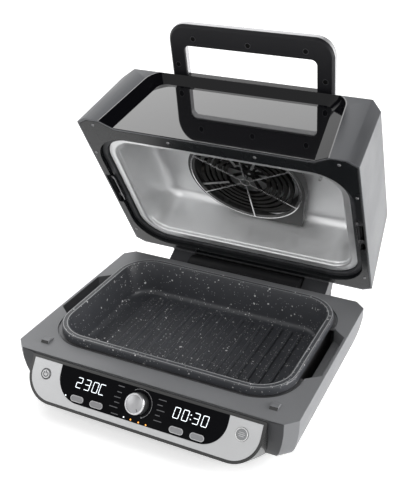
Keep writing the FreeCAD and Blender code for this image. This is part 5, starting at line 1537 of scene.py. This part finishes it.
    def lamps(self, plane: Matrix) -> None:
        """The small indicator lights under the knob and by the left buttons.

        Args:
            plane: the glass's outer plane.
        """
        foot, top = self.spot_radii
        for name, spots, finish in (("white_lamps", self.white_spots, Palette.white_glow),
                                    ("heat_lamps", self.orange_spots, Palette.orange_glow)):
            forms = []
            for x, y in spots:
                form = bmesh.new()
                bmesh.ops.create_cone(form, cap_ends=True, segments=16, radius1=foot,
                                      radius2=top, depth=self.print_height)
                bmesh.ops.translate(form, vec=(x, y, self.print_height / 2), verts=form.verts)
                forms.append(form)
            Mould.cast(name, Mould.join(forms), finish, "base", "display_face", plane)

    def prints(self, plane: Matrix) -> None:
        """Plain bars where the programs are listed, and the scale round the knob.

        Args:
            plane: the glass's outer plane.
        """
        forms = [Mould.bar(self.legend_width, length, self.print_height,
                           Vector((x, -down, 0.0)), math.pi / 2)
                 for x, down, length in self.legends]
        Mould.cast("legend_bars", Mould.join(forms), Palette.print_grey, "base",
                   "display_face", plane)
        at = Vector((*self.knob_at, 0.0))
        radius, line, start, sweep = self.scale
        arc = Mould.ring(radius, line, self.print_height, at, math.radians(start),
                         math.radians(sweep), 40)
        end = at + Matrix.Rotation(math.radians(start), 3, "Z") @ Vector((radius, 0.0, 0.0))
        foot, top = self.dot_radii
        height = self.print_height * 1.5
        dot = Mould.turned(((0.0, 0.0), (foot, 0.0), (top, height), (0.0, height)), end, 16)
        Mould.cast("knob_scale", Mould.join([arc, dot]), Palette.scale_light, "base",
                   "display_face", plane)

    def knob(self, flat: Matrix) -> None:
        """The turned knob with its dished face and a small mark.

        Args:
            flat: the plane of the fascia.
        """
        at = Vector((*self.knob_at, 0.0))
        side, dish = ([(x * MM, z * MM) for x, z in profile]
                      for profile in (self.knob_profile, self.knob_dish))
        body = Mould.cast("knob_body", Mould.turned(side, at), Palette.knob_side, "knob",
                          "knob_metal", flat, crease=40.0)
        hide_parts("selector_knob")
        Mould.cast("knob_face", Mould.turned(dish, at), Palette.knob_top, "knob", "knob_metal",
                   flat, crease=40.0)
        mark = Mould.bar(*self.mark_size, self.print_height, Vector((0.0, *self.mark_at)))
        bmesh.ops.rotate(mark, cent=(0, 0, 0), verts=mark.verts,
                         matrix=Matrix.Rotation(math.radians(self.mark_turn), 3, "Z"))
        bmesh.ops.translate(mark, vec=at, verts=mark.verts)
        Mould.cast("knob_mark", mark, Palette.print_dark, "knob", "knob_metal", flat)

    def button_marks(self, flat: Matrix) -> None:
        """The rings and the sign on the round buttons, and the edges of the long ones.

        Args:
            flat: the plane of the fascia.
        """
        at = Vector((*self.power_at, Place.top_of("power_button", flat)))
        outer, inner = self.power_rings
        width, length, up = self.power_bar
        sign = [Mould.ring(*outer, self.print_height, at, steps=64),
                Mould.ring(*inner, self.print_height, at, *map(math.radians, self.power_gap), 40),
                Mould.bar(width, length, self.print_height, at + Vector((0.0, up, 0.0)))]
        Mould.cast("power_sign", Mould.join(sign), Palette.print_dark, "power", "button_grey",
                   flat)
        at = Vector((*self.start_at, Place.top_of("start_button", flat)))
        Mould.cast("start_ring", Mould.ring(*self.start_trim, at, steps=64),
                   Palette.bright_wire, "start", "button_grey", flat, crease=30.0)
        bars = [Mould.bar(self.start_width, length, self.print_height,
                          at + Vector((0.0, up, 0.0)), math.pi / 2)
                for up, length in self.start_lines]
        Mould.cast("start_bars", Mould.join(bars), Palette.pill_edge, "start", "button_grey",
                   flat)
        for body, x in self.pills:
            at = Vector((x, -self.pill_down, Place.top_of(body + "_button", flat)))
            line = Mould.hoop(*self.pill_line, self.print_height, at)
            Mould.cast(body + "_edge", line, Palette.pill_edge, body, "button_dark", flat)

    def build(self) -> None:
        """Dress the panel and make what stands on its glass."""
        self.dress()
        flat = Place.panel()
        glass = flat @ Matrix.Translation((0.0, 0.0, Place.top_of("display_glass", flat)))
        self.readouts(glass)
        self.lamps(glass)
        self.prints(glass)
        self.knob(flat)
        self.button_marks(flat)


@dataclass
class Lid:
    """The lid: outer shell, gloss front, rim, liner, fan group and hinge arms.

    Attributes:
        rim_screws: the places of the rim's screws, across and back from the lid's front edge.
        screw_size: the radius and the height of a screw head.
        flange: the liner's outline: half its width, front, rear and corner, in millimetres.
        draw: the liner's section: in from the outline and up from the rim, in millimetres.
        sheet: the thickness of the liner's metal.
        fan_back: how far the fan's axis lies behind the lid's front edge.
        collar: the section of the ring behind the fan housing, out and up.
        arm_inside: how far from the middle the blocks of the hinge arms begin.
    """

    rim_screws: tuple[tuple[float, float], ...] = (
        (0.1918, 0.012), (0.0684, 0.026), (0.2118, 0.0803), (0.2096, 0.2937))
    screw_size: tuple[float, float] = (0.0026, 0.0012)
    flange: tuple[float, float, float, float] = (197.5, 48.0, 310.7, 50.0)
    draw: tuple[tuple[float, float], ...] = (
        (0.0, 12.8), (0.2, 11.9), (0.8, 11.3), (1.6, 11.2), (2.3, 11.5), (2.8, 11.8), (9.6, 11.8),
        (10.8, 12.05), (11.8, 12.7), (12.5, 13.7), (12.8, 14.9), (13.0, 17.0), (13.2, 18.4),
        (13.9, 19.2), (14.1, 20.2), (18.0, 45.0), (21.9, 70.0), (22.5, 75.7), (24.2, 81.0),
        (26.9, 85.6), (30.4, 89.0), (34.5, 91.3), (38.9, 92.0))
    sheet: float = 0.0012
    fan_back: float = 0.1830
    collar: tuple[tuple[float, float], ...] = (
        (0.0996, 0.0790), (0.0996, 0.0812), (0.0905, 0.0918), (0.0893, 0.0918), (0.0984, 0.0808),
        (0.0984, 0.0790), (0.0996, 0.0790))
    arm_inside: float = 0.103

    @staticmethod
    def sloped(face: bmesh.types.BMFace) -> bool:
        """Whether a face of the scoop's lining is on its sides or its rear slope."""
        return abs(face.normal.x) > 0.3 or face.normal.y < -0.55

    def on_block(self, face: bmesh.types.BMFace) -> bool:
        """Whether a face is on the block of a hinge arm, outside the skirt."""
        return abs(face.calc_center_median().x) >= self.arm_inside

    def dress(self) -> None:
        """Give the lid's CAD nodes their finishes."""
        Mould.refine("lid_shell", Palette.lid_grey, bevel=0.0007)
        Mould.refine("lid_front_panel", Palette.piano_black, crease=12.0,
                     keep=lambda face: not self.sloped(face))
        Mould.refine("lid_front_panel", Palette.slope_black, crease=12.0, keep=self.sloped,
                     name="lid_front_slopes")
        Mould.refine("lid_rim_plate", Palette.rim_black)
        Mould.refine("lid_gasket", Palette.gasket)
        ends = (-self.arm_inside, self.arm_inside)
        Mould.refine("hinge_arms", Palette.near_black, cuts=ends,
                     keep=lambda face: not self.on_block(face))
        Mould.refine("hinge_arms", Palette.arm_grey, cuts=ends, keep=self.on_block,
                     name="hinge_arm_blocks")
        Mould.refine("fan_shroud", Palette.shroud_black)
        Mould.refine("fan_guard", Palette.bright_wire, crease=50.0)
        Mould.refine("upper_element", Palette.rod_sheath, crease=60.0)
        dress_nodes(Palette.screw_steel, "liner_clips")
        dress_nodes(Palette.near_black, "lid_rear_vent", "cooling_fan")
        dress_nodes(Palette.fan_steel, "convection_fan")
        dress_nodes(Palette.motor_steel, "element_clips", "motor_shaft", "fan_motor",
                    "motor_bracket", "cavity_sensor")

    def liner(self) -> None:
        """The drawn sheet cavity: rolled edge, flange, mouth, step, walls and round shoulder."""
        half, front, rear, corner = self.flange
        form = Mould.drawn(half, (rear - front) / 2, corner, (0.0, (front + rear) / 2), self.draw)
        piece = Mould.cast("liner_drawn", form, Palette.liner_sheet, "lid", "liner_metal",
                           Place.lid(), crease=75.0, turned=True)
        wall = piece.modifiers.new("sheet", "SOLIDIFY")
        wall.thickness = self.sheet
        wall.offset = 1.0
        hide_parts("lid_liner")

    def fan_collar(self) -> None:
        """The ring behind the fan housing that closes it against the liner."""
        ring = Mould.turned(self.collar, Vector((0.0, self.fan_back, 0.0)), 96)
        Mould.cast("fan_collar", ring, Palette.shroud_black, "lid", "shroud_black", Place.lid(),
                   crease=30.0)

    def rim_fasteners(self) -> None:
        """The screws in the underside of the rim."""
        under = Place.lid() @ Matrix.Rotation(math.pi, 4, "Y")
        forms = [Mould.screw(*self.screw_size, Vector((side * x, back, 0.0)))
                 for x, back in self.rim_screws for side in (-1, 1)]
        Mould.cast("rim_screws", Mould.join(forms), Palette.screw_steel, "lid", "bright_steel",
                   under)

    def build(self) -> None:
        """Dress the lid and make its liner and screws."""
        self.dress()
        self.liner()
        self.fan_collar()
        self.rim_fasteners()


@dataclass
class Handle:
    """The lid's handle: dark underside, metal band and its screws.

    Attributes:
        window_half: half the width of the handle's opening.
        window_margin: how far its bar on the lid keeps from the opening's ends.
        bar_start: how far from the handle's root that bar begins.
        screws: the places of the screws in the underside, across and along.
        screw_radius: the radius of the rim round a screw.
        rim_size: the width and the height of that rim.
        head_share: the radius of a screw head, as a share of its rim's.
        head_height: the height of a screw head.
    """

    window_half: float = 0.1082
    window_margin: float = 0.0004
    bar_start: float = 0.003
    screws: tuple[tuple[float, float], ...] = (
        (-0.091, -0.0595), (0.091, -0.0595), (0.0, -0.0585), (-0.121, -0.0145), (0.121, -0.0145))
    screw_radius: float = 0.0042
    rim_size: tuple[float, float] = (0.0007, 0.0003)
    head_share: float = 0.86
    head_height: float = 0.0002

    def build(self) -> None:
        """Dress the handle and make its screws."""
        back = Place.handle().inverted()

        def on_lid(face: bmesh.types.BMFace) -> bool:
            """Whether a face belongs to the bar on the lid."""
            flat = back @ face.calc_center_median()
            return abs(flat.x) < self.window_half - self.window_margin and flat.y > self.bar_start

        Mould.refine("handle_grip", Palette.handle_dark, bevel=0.0008)
        Mould.refine("handle_base", Palette.crossbar_black)
        Mould.refine("handle_band", Palette.band_silver, crease=24.0,
                     keep=lambda face: not on_lid(face))
        Mould.refine("handle_band", Palette.crossbar_black, crease=24.0, keep=on_lid,
                     name="handle_crossbar")
        under = Place.handle() @ Matrix.Rotation(math.pi, 4, "Y")
        places = [Vector((-x, y, 0.0)) for x, y in self.screws]
        # The rims round the screws carry a painted highlight.
        rims = [Mould.ring(self.screw_radius, *self.rim_size, at, steps=32) for at in places]
        Mould.cast("screw_rims", Mould.join(rims), Palette.handle_rim_highlight, "lid", "dark_plastic",
                   under, crease=40.0)
        # The screw heads are near-black, painted shade for the depth of their holes.
        heads = [Mould.screw(self.screw_radius * self.head_share, self.head_height, at)
                 for at in places]
        Mould.cast("handle_screws", Mould.join(heads), Palette.hole_shade_black, "lid",
                   "dark_plastic", under)


@dataclass(frozen=True)
class Softbox:
    """A square soft lamp.

    Attributes:
        name: the lamp's name.
        at: its place.
        aim: the height of the point on the oven's middle line that it faces.
        size: its width.
        power: its power in watts.
    """

    name: str
    at: tuple[float, float, float]
    aim: float
    size: float
    power: float

    def build(self) -> None:
        """Add the lamp to the scene."""
        data = bpy.data.lights.new(self.name, "AREA")
        data.size = self.size
        data.energy = self.power
        lamp = bpy.data.objects.new(self.name, data)
        lamp.location = self.at
        way = Vector((0.0, 0.0, self.aim)) - lamp.location
        lamp.rotation_euler = way.to_track_quat("-Z", "Y").to_euler()
        bpy.context.scene.collection.objects.link(lamp)


@dataclass
class Studio:
    """The floor, the lamps, the world and the camera.

    Attributes:
        camera_at: the camera's place.
        pitch: its turn about X in degrees.
        yaw: its turn about Z in degrees.
        lens: its focal length in mm on a 36 mm sensor.
        ambient: the strength of the world on the object.
        ceiling: how bright the surround is overhead in a reflection.
        floor_glow: how much the floor adds for the eye, near and far, to stay white.
        glow_reach: the distances where that begins and stops to rise.
        floor_reach: how far the floor goes.
        floor_tone: how pale the floor is.
        overhead: how high a direction points where the surround starts and ends to dim.
        lamps: the soft lamps.
    """

    camera_at: tuple[float, float, float] = (0.45717, -0.99170, 0.75729)
    pitch: float = 62.49
    yaw: float = 25.43
    lens: float = 57.78
    ambient: float = 0.42
    ceiling: float = 0.12
    floor_glow: tuple[float, float] = (0.52, 0.68)
    glow_reach: tuple[float, float] = (0.9, 3.0)
    floor_reach: float = 14.0
    floor_tone: Colour = (0.86, 0.86, 0.86)
    overhead: tuple[float, float] = (0.42, 0.75)
    lamps: tuple[Softbox, ...] = (
        Softbox("dome_softbox", (-1.10122, 1.70689, 2.32713), 0.40, 3.0, 28.0),
        Softbox("front_softbox", (-0.98761, -0.25990, 2.79104), 0.40, 1.4, 11.0),
        Softbox("fill_softbox", (0.3, -1.7, 1.5), 0.40, 1.0, 7.0),
        Softbox("right_softbox", (2.2, 0.5, 0.5), 0.15, 1.6, 72.0),
        Softbox("left_softbox", (-1.8, -1.6, 1.4), 0.15, 1.4, 10.0))

    def camera(self) -> None:
        """Place the camera where the photograph was taken from."""
        data = bpy.data.cameras.new("camera")
        data.lens = self.lens
        data.sensor_width = 36.0
        data.sensor_fit = "AUTO"
        camera = bpy.data.objects.new("camera", data)
        camera.location = self.camera_at
        camera.rotation_euler = (math.radians(self.pitch), 0.0, math.radians(self.yaw))
        bpy.context.scene.collection.objects.link(camera)
        bpy.context.scene.camera = camera

    @staticmethod
    def seen(graph: Graph) -> bpy.types.NodeSocket:
        """Whether a ray comes from the camera, a reflection or glass.

        Args:
            graph: the nodes of a material or a world.

        Returns:
            The answer, as 0 or 1.
        """
        path = graph.add("LightPath")
        mirror = graph.sum("MAXIMUM", path.outputs["Is Glossy Ray"],
                           path.outputs["Is Transmission Ray"])
        return graph.sum("MAXIMUM", path.outputs["Is Camera Ray"], mirror)

    def world(self) -> None:
        """A white surround that lights the object softly."""
        world = bpy.data.worlds.new("surround")
        world.use_nodes = True
        bpy.context.scene.world = world
        graph = Graph(world.node_tree)
        background = world.node_tree.nodes["Background"]
        background.inputs["Color"].default_value = (1.0, 1.0, 1.0, 1.0)
        height = graph.part("Z", graph.add("TexCoord").outputs["Generated"])
        surround = graph.span(height, *self.overhead, 1.0, self.ceiling)
        strength = graph.span(self.seen(graph), 0.0, 1.0, self.ambient, surround)
        graph.feed(background.inputs["Strength"], strength)

    def floor(self) -> None:
        """A plain pale floor that keeps the object's shadow."""
        form = bmesh.new()
        bmesh.ops.create_grid(form, x_segments=1, y_segments=1, size=self.floor_reach)
        mesh = bpy.data.meshes.new("floor")
        form.to_mesh(mesh)
        form.free()
        floor = bpy.data.objects.new("floor", mesh)
        bpy.context.scene.collection.objects.link(floor)
        made = bpy.data.materials.new("pale_floor")
        made.use_nodes = True
        graph = Graph(made.node_tree)
        shader = made.node_tree.nodes["Principled BSDF"]
        shader.inputs["Base Color"].default_value = (*self.floor_tone, 1.0)
        shader.inputs["Roughness"].default_value = 0.9
        shader.inputs["Specular IOR Level"].default_value = 0.0
        glow = graph.add("Emission")
        away = graph.add("VectorMath", operation="LENGTH")
        graph.feed(away.inputs[0], graph.place())
        level = graph.span(away.outputs["Value"], *self.glow_reach, *self.floor_glow)
        graph.feed(glow.inputs["Strength"], graph.sum("MULTIPLY", self.seen(graph), level))
        both = graph.add("AddShader")
        graph.feed(both.inputs[0], shader.outputs[0])
        graph.feed(both.inputs[1], glow.outputs[0])
        graph.feed(made.node_tree.nodes["Material Output"].inputs["Surface"], both.outputs[0])
        mesh.materials.append(made)
        floor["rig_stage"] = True

    def build(self) -> None:
        """Set up the whole studio."""
        bpy.context.scene.view_settings.view_transform = "Standard"
        self.camera()
        self.world()
        self.floor()
        for lamp in self.lamps:
            lamp.build()


def corners() -> list[list[float]]:
    """The lowest and highest corners of the whole object."""
    return [list(map(float, corner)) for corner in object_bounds()]


def main() -> None:
    """Build every part of the scene."""
    logging.basicConfig(level=logging.INFO, format="%(name)s: %(message)s")
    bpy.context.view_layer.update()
    for part in (Base(), Pan(), ControlPanel(), Lid(), Handle(), Studio()):
        part.build()
        log.info("built %s", type(part).__name__)


if __name__ == "__main__":
    main()
